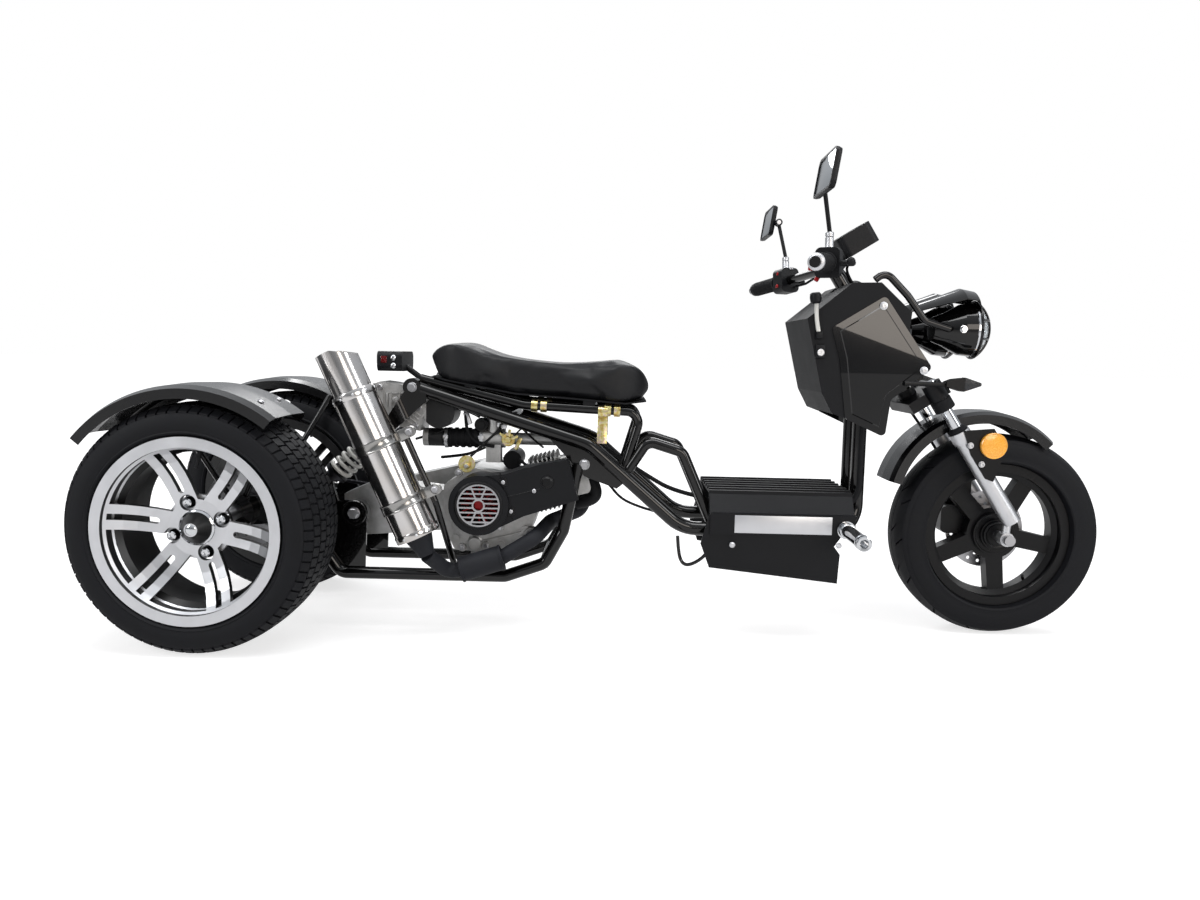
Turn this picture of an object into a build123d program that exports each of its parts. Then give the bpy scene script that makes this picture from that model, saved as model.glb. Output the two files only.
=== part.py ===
from build123d import *
import os
from math import asin, cos, pi, radians, sin

# A three-wheeled scooter: one steered front wheel, two wide driven rear wheels on a live axle,
# a tube frame with the engine open to view, a floorboard, a fairing with two lamps, a long seat.
# Millimetres. +X forward, +Y to the vehicle's left, +Z up. The origin is on the ground, midway
# along the vehicle, in its middle plane.

# Wheels and tyres
wheel_base = 1765
rear_tyre_radius = 262
rear_tyre_width = 211
rear_wall_height = 67
rear_flange_height = 15
rear_flange_thickness = 9
rear_barrel_wall = 7
rear_track = 533
rear_rim_width = 203
front_tyre_radius = 236
front_tyre_width = 120
front_wall_height = 69
front_flange_height = 13
front_flange_thickness = 7
front_barrel_wall = 6
front_rim_width = 86
tread_groove_width = 7
tread_groove_depth = 6
rear_groove_shares = [-0.42, 0, 0.42]
front_groove_shares = [-0.3, 0.3]
tyre_side_shares = [(0.97, 0.08), (1, 0.3), (0.97, 0.64), (0.86, 0.87), (0.62, 0.97)]
well_start_share = 0.55
well_floor_share = 0.4
well_end_share = 0.1
well_rise_share = 0.25
running_gap = 0.3
rear_axle_x = -869.5

rear_flange_radius = rear_tyre_radius - rear_wall_height
rear_bead_radius = rear_flange_radius - rear_flange_height
front_flange_radius = front_tyre_radius - front_wall_height
front_bead_radius = front_flange_radius - front_flange_height
front_axle_x = rear_axle_x + wheel_base

# Rear spokes and hub
spoke_count = 6
spoke_first_angle = 51
spoke_root_width = 46
spoke_tip_width = 54
spoke_slot_width = 13
spoke_slot_start = 84
spoke_corner = 6
spoke_thickness = 14
spoke_face_inset = 6
rear_dish = 52
dish_shares = [(0, 0), (0.3, 0.08), (0.5, 0.2), (0.7, 0.42), (0.86, 0.7), (1, 1)]
rear_hub_radius = 60
rear_lip = 5
hub_pad_radius = 68
lug_circle = 110
lug_count = 4
lug_first_angle = 19
lug_recess_radius = 17
lug_nut_across = 19
lug_nut_stand = 3
hub_pad_bury = 3
hub_pad_stand = 8
hub_cap_radius = 36
hub_cap_height = 30
hub_cap_nose_radius = 14

# Front spokes and hub
front_spoke_count = 5
front_spoke_first_angle = 60
front_spoke_root_width = 42
front_spoke_tip_width = 38
front_spoke_corner = 9
front_lip = 12
front_spoke_thickness = 34
front_hub_radius = 62
front_hub_half_width = 46
running_clearance = 0.08
front_disc_radius = 92
disc_bore_radius = 29
front_disc_seat_share = 0.8
hub_step_shares = [(0.8, 0.6), (0.58, front_disc_seat_share), (0.4, 1)]
disc_hole_count = 20
disc_hole_radius = 4
disc_hole_ring_shares = [0.68, 0.86]

# Rear axle and its swing arm
axle_diameter = 35
axle_hub_radius = 62
axle_hub_thickness = 12
axle_housing_diameter = 84
axle_housing_width = 54
axle_housing_spacing = 178
sprocket_radius = 78
sprocket_thickness = 6
sprocket_y = 54
sprocket_teeth = 36
sprocket_tooth_height = 7
tooth_shares = [(1.5, -0.7), (0, -0.25), (0, 0.25), (1.5, 0.7)]
rear_disc_radius = 95
rear_disc_y = -58
disc_thickness = 4
pivot_x = -596
pivot_z = 266
pivot_boss_radius = 27
pivot_boss_width = 26
swing_arm_thickness = 12
swing_arm_depth = 70
pivot_half_depth = 21
swing_cross_share = 0.66
shock_low_x = -668
shock_low_z = 330
shock_high_x = -528
shock_high_z = 452
shock_lug_radius = 18
shock_lug_half = 16
pivot_pin_radius = 8
pivot_plate_thickness = 6
shock_body_diameter = 34
shock_body_shares = [0.14, 0.3]
spring_seat_shares = [0.22, 0.84]
shock_rod_diameter = 14
shock_eye_radius = 13
shock_eye_width = 24
spring_diameter = 56
spring_wire = 9
spring_turns = 6

# Chain
drive_sprocket_radius = 36
drive_teeth = 15
drive_bore_radius = 9
chain_height = 8
chain_width = 12

# Frame tubes
tube_diameter = 32
spine_half_width = 110
spine_rear_x = -462
spine_rear_z = 556
spine_bend_x = -62
spine_bend_z = 434
spine_foot_x = 152
deck_tube_z = 248
deck_tube_front_x = 470
down_tube_x = 562
down_tube_half_width = 44
fairing_bar_z = 540
fairing_bar_diameter = 16
down_tube_top_z = 596
bend_radius = 90
tight_bend_radius = 55
cross_tube_diameter = 25
frame_boss_radius = 20

# Steering head
rake_angle = 33
head_anchor_x = 690
head_anchor_z = 545
head_tube_diameter = 54
head_tube_length = 165
head_tube_wall = 6
head_tube_start = 32

# Step hoops beside the spine
hoop_diameter = 25
hoop_half_width = 96
hoop_root_x = 24
hoop_root_z = 372
hoop_top_x = 70
hoop_top_z = 444
hoop_fall_x = 150
hoop_fall_z = 420
hoop_foot_x = 226

# Engine cradle
cradle_diameter = 28
cradle_half_width = 110
cradle_top_x = -86
cradle_top_z = 390
cradle_knee_x = -118
cradle_knee_z = 236
cradle_front_x = -160
cradle_front_z = 158
cradle_rear_x = -628
cradle_low_z = 126
cradle_tip_x = -664
cradle_tip_z = 176
gusset_thickness = 6
gusset_back = 110
gusset_drop = 99
gusset_length = 200
gusset_shares = [(0, 1), (0.55, 0.75), (1, 0.16), (0.87, 0), (0.5, 0.2)]
pivot_plate_shares = [(0.1, 0.1), (0.95, 0), (1, 0.8), (0.8, 1), (0.45, 1), (0.25, 0.8)]

# Seat and its rail
seat_rail_diameter = 22
seat_rail_half_width = 92
seat_rail_rear_x = -448
seat_rail_rear_z = 575
seat_rail_mid_x = -213
seat_rail_mid_z = 520
seat_rail_front_x = 56
seat_rail_front_z = 509
seat_rail_low_x = 14
seat_rail_low_z = 366
seat_length = 518
seat_rear_x = -438
seat_width = 250
seat_low_z = 530
seat_high_z = 663
seat_corner_radius = 95
seat_top_shares = [(0, 0.81), (0.05, 0.95), (0.1, 1), (0.17, 0.94), (0.28, 0.76), (0.44, 0.63),
                   (0.64, 0.59), (0.79, 0.64), (0.87, 0.67), (0.94, 0.64), (0.98, 0.48), (1, 0.23)]
seat_low_shares = [(0.97, 0.05), (0.88, 0), (0.64, 0.07), (0.4, 0.13), (0.25, 0.23), (0.09, 0.34),
                   (0.04, 0.4)]
clamp_width = 14
clamp_wall = 3
clamp_gap = 7
clamp_shares = [0.13, 0.75]
rail_cross_diameter = 18
pan_half_width = 104
pan_thickness = 4
pan_foot_length = 26
pan_foot_width = 16
rear_foot_share = 0.483
front_foot_share = 0.55
pan_foot_bury_share = 0.8

# Engine, drawn about its crankshaft
crank_x = -304
crank_z = 298
engine_half_width = 88
fan_cover_depth = 82
fan_ring_radius = 67
fan_blade_root = 24
fan_mouth_radius = 48
cylinder_tilt = 15
cylinder_start = 108
cylinder_length = 84
cylinder_radius = 52
cylinder_fin_radius = 64
cylinder_fin_count = 7
cylinder_fin_thickness = 3
fin_corner = 12
head_width = 104
head_height = 96
head_depth = 62
head_cover_step = 14
head_cover_reach = 33
crankcase_rear = -92
crankcase_low = -122
crankcase_length = 216
crankcase_height = 196
crankcase_corner = 14
engine_foot_x = -316
engine_foot_length = 46
crankcase_shares = [(0, 0.3), (0.12, 0.02), (0.62, 0), (0.92, 0.22), (1, 0.5), (0.9, 0.92), (0.3, 1),
                    (0, 0.8)]
case_boss_shares = [(0.13, 0.16), (0.36, 0.08), (0.62, 0.08), (0.88, 0.28)]
case_boss_radius = 10
case_boss_stand = 7
shroud_length = 218
shroud_height = 66
shroud_step = 6
shroud_wall = 4
shroud_inner_share = 0.78
clear_of_tube = 3
shroud_shares = [(0, -1), (0.42, -0.72), (1, -0.62), (1, 0.78), (0.72, 0.86), (0.36, 0.8), (0, 1)]
fan_depth = 62
fan_plate = 5
fan_gap = 7
fan_hub_radius = 11
fan_blade_count = 16
fan_blade_thickness = 2.5
grille_bar = 3.5
grille_depth = 5
grille_bar_count = 8
grille_cross_angle = 68
belt_case_depth = 58
belt_case_end_radius = 62
belt_case_drum_radius = 76
belt_case_set_back = 98
belt_case_boss = 10
belt_case_boss_share = 0.72
gear_case_back = 44
gear_case_height = 130
gear_case_half_width = 40
gear_case_shares = [(0, 0.3), (0.2, 0), (0.95, 0.12), (1, 0.85), (0.3, 1), (0, 0.75)]

# Intake
air_box_x = -556
air_box_z = 455
air_box_length = 118
air_box_height = 111
air_box_width = 98
air_outlet_length = 46
air_box_shares = [(0, 0.95), (0.12, 1), (0.72, 0.92), (1, 0.5), (0.9, 0), (0.4, 0.1), (0.08, 0.5)]
air_drum_radius = 36
air_drum_lead = 30
air_drum_width_share = 0.9
air_rib_count = 3
air_rib_width = 6
air_rib_length = 66
air_rib_height = 5
hose_rear_x = -404
hose_front_x = -312
hose_y = -46
hose_z = 438
hose_diameter = 42
hose_rib_count = 5
hose_rib_height = 2.5
hose_rib_width = 7
carb_length = 52
carb_radius = 22
carb_bowl_length = 34
carb_bowl_height = 22
carb_cap_height = 46
carb_cap_radius = 17
carb_neck_diameter = 28
starter_back = 30
starter_rise = 68.2
starter_y = 30
starter_length = 96
starter_radius = 22

# Exhaust
muffler_x_low = -428
muffler_z_low = 236
muffler_x_high = -569
muffler_z_high = 546
muffler_y = -212
muffler_diameter = 95
pipe_diameter = 34
outlet_bore_diameter = 52
band_width = 22
band_shares = [0.2, 0.6]
band_wall = 2
tip_diameter = 86
tip_length = 96
tip_bore_depth = 60
tip_slash_angle = 29
cone_diameter = 62
cone_length = 46
port_drop = 40
pipe_knee_x = -150
pipe_knee_y = -62
pipe_knee_z = 248
pipe_out_x = -178
pipe_out_y = -150
pipe_out_z = 226
pipe_bend = 30
chamber_x = -344
chamber_y = -166
chamber_z = 152
chamber_length = 92
chamber_shift = 10
chamber_rise = 28
chamber_tail = 26
chamber_fall = 5
chamber_diameter = 56
ear_reach = 30
ear_thickness = 5
stay_diameter = 14
stay_foot_lead = 44

# Floorboard
deck_rear_x = 212
deck_front_x = 534
deck_half_width = 158
deck_rim_z = 292
deck_top_z = 334
deck_rim_height = 48
deck_ledge = 14
deck_shoulder = 30
deck_sheet = 4
foot_width = 14
rib_count = 6
rib_width = 10
rib_height = 7
skirt_thickness = 3
skirt_lead = 20
skirt_drop = 150
skirt_shares = [(0.05, 1), (0, 0.56), (0.06, 0.2), (0.9, 0), (0.91, 0.44), (0.87, 0.56), (1, 1)]
peg_length = 156
peg_radius = 15
peg_flange = 10
peg_flange_radius = 20
peg_bore_radius = 9
peg_bore_depth = 40
peg_x = 512
peg_z = 262

# Fairing
fairing_rear_x = 466
fairing_low_z = 467
fairing_length = 224
fairing_height = 311
fairing_half_width = 140
fairing_thickness = 4
fairing_border = 15
fairing_raise = 2
fairing_bevel = 45
fairing_corner = 10
fairing_shares = [(0, 0.77), (0.51, 1), (1, 0.5), (0.61, 0.27), (0.57, 0), (0.17, 0.13), (0.09, 0.55)]
shield_x = 412
shield_length = 240
shield_height = 345
shield_shares = [(0, 0.75), (0.4, 0.98), (0.66, 0.985), (0.95, 0.8), (0.9, 0.4), (0.64, 0.14),
                 (0.38, 0.12), (0.26, 0.15), (0.16, 0.28)]
shield_inner_shares = [(0.03, 0.74), (0.41, 0.965), (0.65, 0.97), (0.93, 0.79), (1.4, 0.79), (1.4, -0.1),
                       (0.38, -0.1), (0.28, 0.17), (0.185, 0.29)]

# Loom hose beside the down tube
loom_diameter = 14
loom_top_lead = 26
loom_top_z = 570
loom_slant = 80
loom_low_z = 330
loom_tail = 44
loom_drop = 50
loom_bend = 60

# Headlamps
lamp_x = 793
lamp_z = 709
lamp_half_spacing = 82
lamp_radius = 60
lamp_depth = 92
lamp_lens_height = 30
lamp_rim = 4
lens_wall = 3
guard_tube_diameter = 16
guard_bend = 22
lamp_neck_share = 0.62
lamp_back_shares = [(1, 0), (1, 0.45), (0.72, lamp_neck_share), (0.35, 0.94), (0, 1)]
lamp_bowl_shares = [(0.3, 0.77), (0.66, 0.3), (0.66, 0)]
lens_steps = 6
cage_bar = 5
cage_bar_shares = [-0.34, 0.34]
hood_shares = [(1.4, 0.92), (0.4, 1.52), (0.09, 1.43), (0, 1.15)]
hood_thickness = 3
hood_half_angle = 43
hood_post_share = 0.25
hood_post_diameter = 10
guard_x = 558
guard_length = 169
guard_height = 122
guard_shares = [(0, 0.853), (0.13, 1), (0.43, 0.58), (0.67, 0.14), (1, 0)]
signal_x = 717
signal_z = 588
signal_length = 74
signal_height = 30
signal_width = 26
signal_stalk = 88
signal_stalk_diameter = 10
signal_shares = [(0, 0.35), (0.45, 0), (1, 0.45), (1, 0.6), (0.5, 1), (0.2, 0.9), (0, 0.7)]

# Fork
leg_half_spacing = 85
leg_offset = 36
stanchion_diameter = 27
slider_diameter = 40
slider_collar_diameter = 48
slider_collar_length = 22
crown_thickness = 26
crown_length = 96
crown_low = -14
crown_collar_radius = 22
crown_collar_length = 42
top_clamp_thickness = 16
stanchion_stand = 5
slider_top_distance = -100
slider_low_distance = -345
stanchion_insert = 60
axle_lug_radius = 16
axle_lug_web = 19
axle_nut_radius = 12
axle_pin_stand = 10
bracket_distance = -160
bracket_back = 30
bracket_length = 90
bracket_height = 120
bracket_thickness = 3
bracket_bolt_spacing = 50
bracket_boss_radius = 8
bracket_shares = [(0, 0.95), (0.75, 1), (1, 0.7), (0.95, 0.3), (0.8, 0), (0.6, 0.05), (0.2, 0.5)]
reflector_radius = 28
reflector_depth = 8
reflector_ahead = 36
reflector_rise = 22
axle_pin_diameter = 15

# Handlebar
bar_diameter = 22.2
bar_distance = 362
bar_offset = 8
bar_end_x = 367
bar_end_z = 821
bar_half_width = 404
grip_diameter = 34
grip_length = 120
riser_spacing = 60
riser_diameter = 34
riser_clearance = 15
grip_start = 232
control_start = 176
control_length = 44
control_height = 62
control_depth = 50
lever_length = 150
lever_ahead = 62
lever_rise = 2
lever_diameter = 13
lever_ball_radius = 9
control_corner = 12
mirror_length = 150
mirror_height = 78
mirror_thickness = 12
mirror_corner = 14
mirror_lean = 20
mirror_reach = 80
mirror_side_step = 20
mirror_lift = 8
mirror_frame = 5
mirror_glass_depth = 2
mirror_back_taper = 20
mirror_socket_length = 30
mirror_socket_diameter = 16
mirror_joint_width = 22
mirror_rise = 120
mirror_tilt = 0.15
stalk_diameter = 9
cable_diameter = 6
cable_lead = 16
cable_run = 44
cable_drop = 22
cable_side = 75
cable_spacing = 10
cable_bend = 32
meter_x = 536
meter_z = 908
meter_tilt = 32
meter_length = 86
meter_width = 110
meter_depth = 50
meter_corner = 16
meter_rim = 7
meter_dial_depth = 5
meter_stem_diameter = 18
caliper_overlap = 8
caliper_rise = 24
caliper_length = 56
caliper_height = 66
caliper_corner = 14
caliper_arm_thickness = 5
caliper_arm_start = 74

# Fenders
rear_fender_gap = 39
rear_fender_width = 212
rear_fender_lip = 30
rear_fender_thickness = 3
rear_fender_front_angle = 52
rear_fender_rear_angle = 140
rear_fender_crown = 6
fender_shares = [(-1, 1.6), (-0.8, 0.4), (0, 0), (0.8, 0.4), (1, 1.6)]
fender_stay_diameter = 14
fender_stay_angles = [62, 118]
front_fender_width = 128
front_fender_thickness = 3
front_fender_inset = 14
front_fender_set_back = 48.5
front_fender_rise = 70
front_fender_drop = 30
front_fender_crown = 6
front_fender_front_angle = 44
front_fender_rear_angle = 166

rear_fender_radius = rear_tyre_radius + rear_fender_gap
front_fender_radius = front_tyre_radius - front_fender_inset

weld_overrun = 6

# Tail lamp
tail_x = -528
tail_z = 612
tail_length = 58
tail_width = 120
tail_height = 46
tail_corner = 14
tail_rim = 5
tail_lens_depth = 4
tail_arm_diameter = 14


def spread(shares, corner, size):
    """Places an outline's shares in a box, from its low corner and its size."""
    return [(corner[0] + size[0] * across, corner[1] + size[1] * up) for across, up in shares]


def side_panel(points, y_low, y_high, corner=0):
    """A flat panel that stands along the vehicle, between two distances from its middle."""
    face = make_face(Polyline(*points, close=True))
    if corner:
        face = fillet(face.vertices(), corner)
    solid = extrude(face, amount=y_high - y_low)
    stand = Plane(origin=(0, y_high, 0), x_dir=(1, 0, 0), z_dir=(0, -1, 0))
    return stand * solid


def tube(points, diameter, bend=0):
    """A round bar along straight runs with rounded corners."""
    path = FilletPolyline(*points, radius=bend) if len(points) > 2 else Line(*points)
    section = Plane(origin=path @ 0, z_dir=path % 0) * Circle(diameter / 2)
    return sweep(section, path=path)


def drum(x, z, y_low, y_high, radius):
    """A cylinder that lies across the vehicle."""
    return Pos(x, (y_low + y_high) / 2, z) * Rot(90, 0, 0) * Cylinder(radius, y_high - y_low)


def wheel_turning(profile, x, z):
    """Turns an outline of (distance from the middle, radius) about an axis across the vehicle."""
    face = make_face(Polyline(*[(radius, y) for y, radius in profile], close=True))
    return Pos(x, 0, z) * revolve(face, Axis.Y)


def along_steering(distance, offset=0, y=0):
    """A point of the steering head, counted up the axis and forward of it."""
    rake = radians(rake_angle)
    x = head_anchor_x - distance * sin(rake) + offset * cos(rake)
    z = head_anchor_z + distance * cos(rake) + offset * sin(rake)
    return (x, y, z)


def steering_plane(distance, offset=0, y=0):
    """A plane across the steering axis."""
    rake = radians(rake_angle)
    return Plane(origin=along_steering(distance, offset, y), x_dir=(cos(rake), 0, sin(rake)),
                 z_dir=(-sin(rake), 0, cos(rake)))


def mirrored(shape):
    """The same piece on the vehicle's other side."""
    return mirror(shape, about=Plane.XZ)


def pair(shape):
    """A piece and its mirror image, as separate solids."""
    return [*shape.solids(), *mirrored(shape).solids()]


def write(name, shapes):
    """Writes one piece, or several that don't touch, as one named file."""
    solids = [solid for shape in shapes for solid in shape.solids()]
    export_step(Compound(children=solids), "parts/" + name + ".step")


# Frame
def spine_points(side):
    y = side * spine_half_width
    near = side * down_tube_half_width
    return [
        (spine_rear_x, y, spine_rear_z),
        (spine_bend_x, y, spine_bend_z),
        (spine_foot_x, y, deck_tube_z),
        (deck_tube_front_x, y, deck_tube_z),
        (down_tube_x, near, deck_tube_z),
        (down_tube_x, near, down_tube_top_z),
        along_steering(head_tube_start + head_tube_length / 2, 0, side * head_tube_diameter / 4),
    ]


def spine_height(x):
    """The centre height of the spine's straight run above the engine."""
    share = (x - spine_rear_x) / (spine_bend_x - spine_rear_x)
    return spine_rear_z + share * (spine_bend_z - spine_rear_z)


def head_tube():
    return steering_plane(head_tube_start + head_tube_length / 2) * Cylinder(
        head_tube_diameter / 2, head_tube_length)


def cross_bar(x, z, half_width, diameter):
    return drum(x, z, -half_width, half_width, diameter / 2)


def main_frame():
    bends = [bend_radius, bend_radius, tight_bend_radius, tight_bend_radius, tight_bend_radius]
    frame = head_tube()
    for side in (-1, 1):
        frame += tube(spine_points(side), tube_diameter, bends)
    for x in (spine_rear_x + tube_diameter, spine_bend_x - 2 * bend_radius):
        frame += cross_bar(x, spine_height(x), spine_half_width, cross_tube_diameter)
    for x in (spine_foot_x + bend_radius, deck_tube_front_x - bend_radius):
        frame += cross_bar(x, deck_tube_z, spine_half_width, cross_tube_diameter)
    for side in (-1, 1):
        ends = sorted((side * (spine_half_width - tube_diameter / 2),
                       side * (spine_half_width + tube_diameter / 2)))
        frame += drum(spine_rear_x, spine_rear_z, *ends, frame_boss_radius)
        frame += shock_plate(side)
    reach = fairing_half_width - 2 * fairing_thickness - 2 * running_gap
    frame += cross_bar(down_tube_x, fairing_bar_z, reach, fairing_bar_diameter)
    inner = Cylinder(fork_stem_radius() + running_gap, head_tube_length + weld_overrun)
    return frame - steering_plane(head_tube_start + head_tube_length / 2) * inner


def shock_eye_middle():
    """How far from the vehicle's middle the shocks stand, against the swing arm's blades."""
    return axle_housing_spacing / 2 + swing_arm_thickness / 2 + running_gap + shock_eye_width / 2


def shock_plate(side):
    """The plate under the spine's rear end that the shock's upper eye is bolted to."""
    inner_face = shock_eye_middle() + shock_eye_width / 2 + running_gap
    ends = sorted((side * inner_face, side * (inner_face + gusset_thickness)))
    outline = [(shock_high_x - shock_eye_radius, shock_high_z),
               (shock_high_x + shock_eye_radius / 2, shock_high_z - shock_eye_radius),
               (spine_rear_x + tube_diameter, spine_rear_z - tube_diameter),
               (spine_rear_x + tube_diameter, spine_rear_z - tube_diameter / 4),
               (spine_rear_x - frame_boss_radius / 2, spine_rear_z)]
    return side_panel(outline, *ends)


def fork_stem_radius():
    return head_tube_diameter / 2 - head_tube_wall


def hoop_bars(growth=0):
    """The bent bar beside each spine, or a space that leaves it free."""
    hoops = []
    for side in (-1, 1):
        y = side * hoop_half_width
        points = [
            (hoop_root_x, y, hoop_root_z),
            (hoop_top_x, y, hoop_top_z),
            (hoop_fall_x, y, hoop_fall_z),
            (hoop_foot_x, y, deck_tube_z),
        ]
        hoops.append(tube(points, hoop_diameter + 2 * growth, hoop_diameter))
    return hoops


def step_hoops(frame, rail):
    """The hoops, cut to the surfaces of the spine and the seat's rail."""
    return [(hoop - frame - rail).solids().sort_by(SortBy.VOLUME)[-1] for hoop in hoop_bars()]


def engine_cradle(frame):
    """The bars under the engine, with the gussets above them and the pivot plates behind."""
    cradle = cross_bar(cradle_front_x, cradle_front_z, cradle_half_width, cross_tube_diameter)
    cradle += cross_bar(cradle_tip_x, cradle_tip_z, cradle_half_width, cross_tube_diameter)
    for side in (-1, 1):
        y = side * cradle_half_width
        points = [
            (cradle_top_x, y, cradle_top_z),
            (cradle_knee_x, y, cradle_knee_z),
            (cradle_front_x, y, cradle_front_z),
            (cradle_front_x - bend_radius, y, cradle_low_z),
            (cradle_rear_x, y, cradle_low_z),
            (cradle_tip_x, y, cradle_tip_z),
        ]
        cradle += tube(points, cradle_diameter, cradle_diameter)
        cradle += gusset(side)
        cradle += pivot_plate(side)
    cradle += cross_bar(engine_foot_x, cradle_low_z, cradle_half_width, cross_tube_diameter)
    return cradle - frame


def pivot_plate(side):
    """The plate that rises from the cradle's rear and holds the swing arm's pin."""
    inner_face = axle_housing_spacing / 2 + pivot_boss_width / 2 + running_gap
    ends = sorted((side * inner_face, side * (inner_face + pivot_plate_thickness)))
    corner = (cradle_tip_x, cradle_low_z)
    size = (pivot_x + pivot_boss_radius - cradle_tip_x, pivot_z + pivot_boss_radius - cradle_low_z)
    plate = side_panel(spread(pivot_plate_shares, corner, size), *ends)
    ends = sorted((side * (inner_face - pivot_boss_width), side * (inner_face + weld_overrun)))
    return plate + drum(pivot_x, pivot_z, *ends, pivot_pin_radius)


def gusset(side):
    """The plate that hangs under the spine's bend and carries the engine's pivot bolt."""
    points = spread(gusset_shares, (spine_bend_x - gusset_back, spine_bend_z - gusset_drop),
                    (gusset_length, spine_height(spine_bend_x - gusset_back) - spine_bend_z + gusset_drop))
    y = side * cradle_half_width
    return side_panel(points, y - gusset_thickness / 2, y + gusset_thickness / 2)


def seat_rail(frame):
    """The looped rails under the seat, with posts to the frame's rear cross bar."""
    rails = None
    for side in (-1, 1):
        y = side * seat_rail_half_width
        points = [
            (seat_rail_rear_x, y, seat_rail_rear_z),
            (seat_rail_mid_x, y, seat_rail_mid_z),
            (seat_rail_front_x, y, seat_rail_front_z),
            (seat_rail_low_x, y, seat_rail_low_z),
        ]
        bar = tube(points, seat_rail_diameter, [bend_radius, tight_bend_radius / 2])
        rails = bar if rails is None else rails + bar
    cross_x = seat_rail_front_x - 2 * tight_bend_radius
    rails += cross_bar(cross_x, seat_rail_height(cross_x), seat_rail_half_width, rail_cross_diameter)
    post_x = spine_rear_x + tube_diameter
    for side in (-1, 1):
        y = side * seat_rail_half_width
        rails += tube([(post_x, y, spine_height(post_x)), (post_x, y, seat_rail_height(post_x))],
                      rail_cross_diameter)
    return rails - frame


# Wheels
def tyre(middle, half, bead_half, radius, bead_radius, flange_radius, x, groove_shares):
    """A tyre about its rim: beads between the flanges, walls that bulge over them, a tread."""
    wall = radius - flange_radius
    side = [
        (bead_half, bead_radius + running_gap),
        (bead_half, flange_radius + 2 * running_gap),
    ]
    side += [(half * out, flange_radius + wall * up) for out, up in tyre_side_shares]
    profile = [(middle + y, r) for y, r in side] + [(middle, radius)]
    profile += [(middle - y, r) for y, r in reversed(side)]
    body = wheel_turning(profile, x, radius)
    for share in groove_shares:
        y = middle + half * share
        half_groove = tread_groove_width / 2
        low = radius - tread_groove_depth
        ring = [(y - half_groove, low), (y + half_groove, low),
                (y + half_groove, radius + half_groove), (y - half_groove, radius + half_groove)]
        body -= wheel_turning(ring, x, radius)
    return body


def rim_barrel(middle, half, flange, wall, bead_radius, flange_radius, x, z):
    """The ring that carries a tyre, with a flange at each edge and a dropped middle."""
    well = wall * 2
    inner = bead_radius - wall
    profile = [
        (middle - half, inner),
        (middle - half, flange_radius),
        (middle - half + flange, flange_radius),
        (middle - half + flange, bead_radius),
        (middle - half * well_start_share, bead_radius),
        (middle - half * well_floor_share, bead_radius - well),
        (middle + half * well_end_share, bead_radius - well),
        (middle + half * well_rise_share, bead_radius),
        (middle + half - flange, bead_radius),
        (middle + half - flange, flange_radius),
        (middle + half, flange_radius),
        (middle + half, inner),
        (middle + half * well_rise_share, inner),
        (middle + half * well_end_share, inner - well),
        (middle - half * well_floor_share, inner - well),
        (middle - half * well_start_share, inner),
    ]
    return wheel_turning(profile, x, z)


def rear_rim():
    """A dished rim of the right-hand wheel: six split spokes that fall back to the hub."""
    middle = -rear_track / 2
    half = rear_rim_width / 2
    barrel = rim_barrel(middle, half, rear_flange_thickness, rear_barrel_wall,
                        rear_bead_radius, rear_flange_radius, rear_axle_x, rear_tyre_radius)
    lip_y = middle - half + spoke_face_inset
    hub_y = lip_y + rear_dish
    inner = rear_bead_radius - rear_barrel_wall / 2
    span = inner + rear_barrel_wall / 4 - rear_hub_radius
    front = [(hub_y, 0)]
    front += [(hub_y - rear_dish * fall, rear_hub_radius + span * reach)
              for reach, fall in dish_shares]
    back = [(y + spoke_thickness, radius) for y, radius in reversed(front)]
    bowl = wheel_turning(front + back, rear_axle_x, rear_tyre_radius)
    reach = rear_bead_radius - rear_barrel_wall - rear_lip
    star = spoke_star(spoke_count, spoke_first_angle, rear_hub_radius, reach, inner,
                      spoke_root_width, spoke_tip_width, spoke_corner)
    length = reach - spoke_slot_start
    slot = Pos(spoke_slot_start + length / 2, 0) * Rectangle(length, spoke_slot_width)
    slot += Pos(spoke_slot_start, 0) * Circle(spoke_slot_width / 2)
    for index in range(spoke_count):
        star -= Rot(0, 0, spoke_first_angle + index * 360 / spoke_count) * slot
    for index in range(lug_count):
        angle = radians(lug_first_angle + index * 360 / lug_count)
        star -= Pos(lug_circle / 2 * cos(angle), lug_circle / 2 * sin(angle)) * Circle(
            lug_recess_radius)
    stand = Plane(origin=(rear_axle_x, middle + half, rear_tyre_radius), x_dir=(1, 0, 0),
                  z_dir=(0, -1, 0))
    face = (stand * extrude(star, amount=rear_rim_width + 2 * weld_overrun)) & bowl
    pad = drum(rear_axle_x, rear_tyre_radius, hub_y + spoke_thickness - hub_pad_bury,
               hub_y + spoke_thickness + hub_pad_stand, hub_pad_radius)
    cap = Pos(rear_axle_x, hub_y - hub_cap_height / 2, rear_tyre_radius) * Rot(90, 0, 0) * Cone(
        hub_cap_radius, hub_cap_nose_radius, hub_cap_height)
    rim = barrel + face + pad + cap
    for index in range(lug_count):
        angle = radians(lug_first_angle + index * 360 / lug_count)
        x = rear_axle_x + lug_circle / 2 * cos(angle)
        z = rear_tyre_radius + lug_circle / 2 * sin(angle)
        rim += drum(x, z, hub_y - lug_nut_stand, hub_y + spoke_thickness, lug_nut_across / 2)
    return rim


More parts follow.
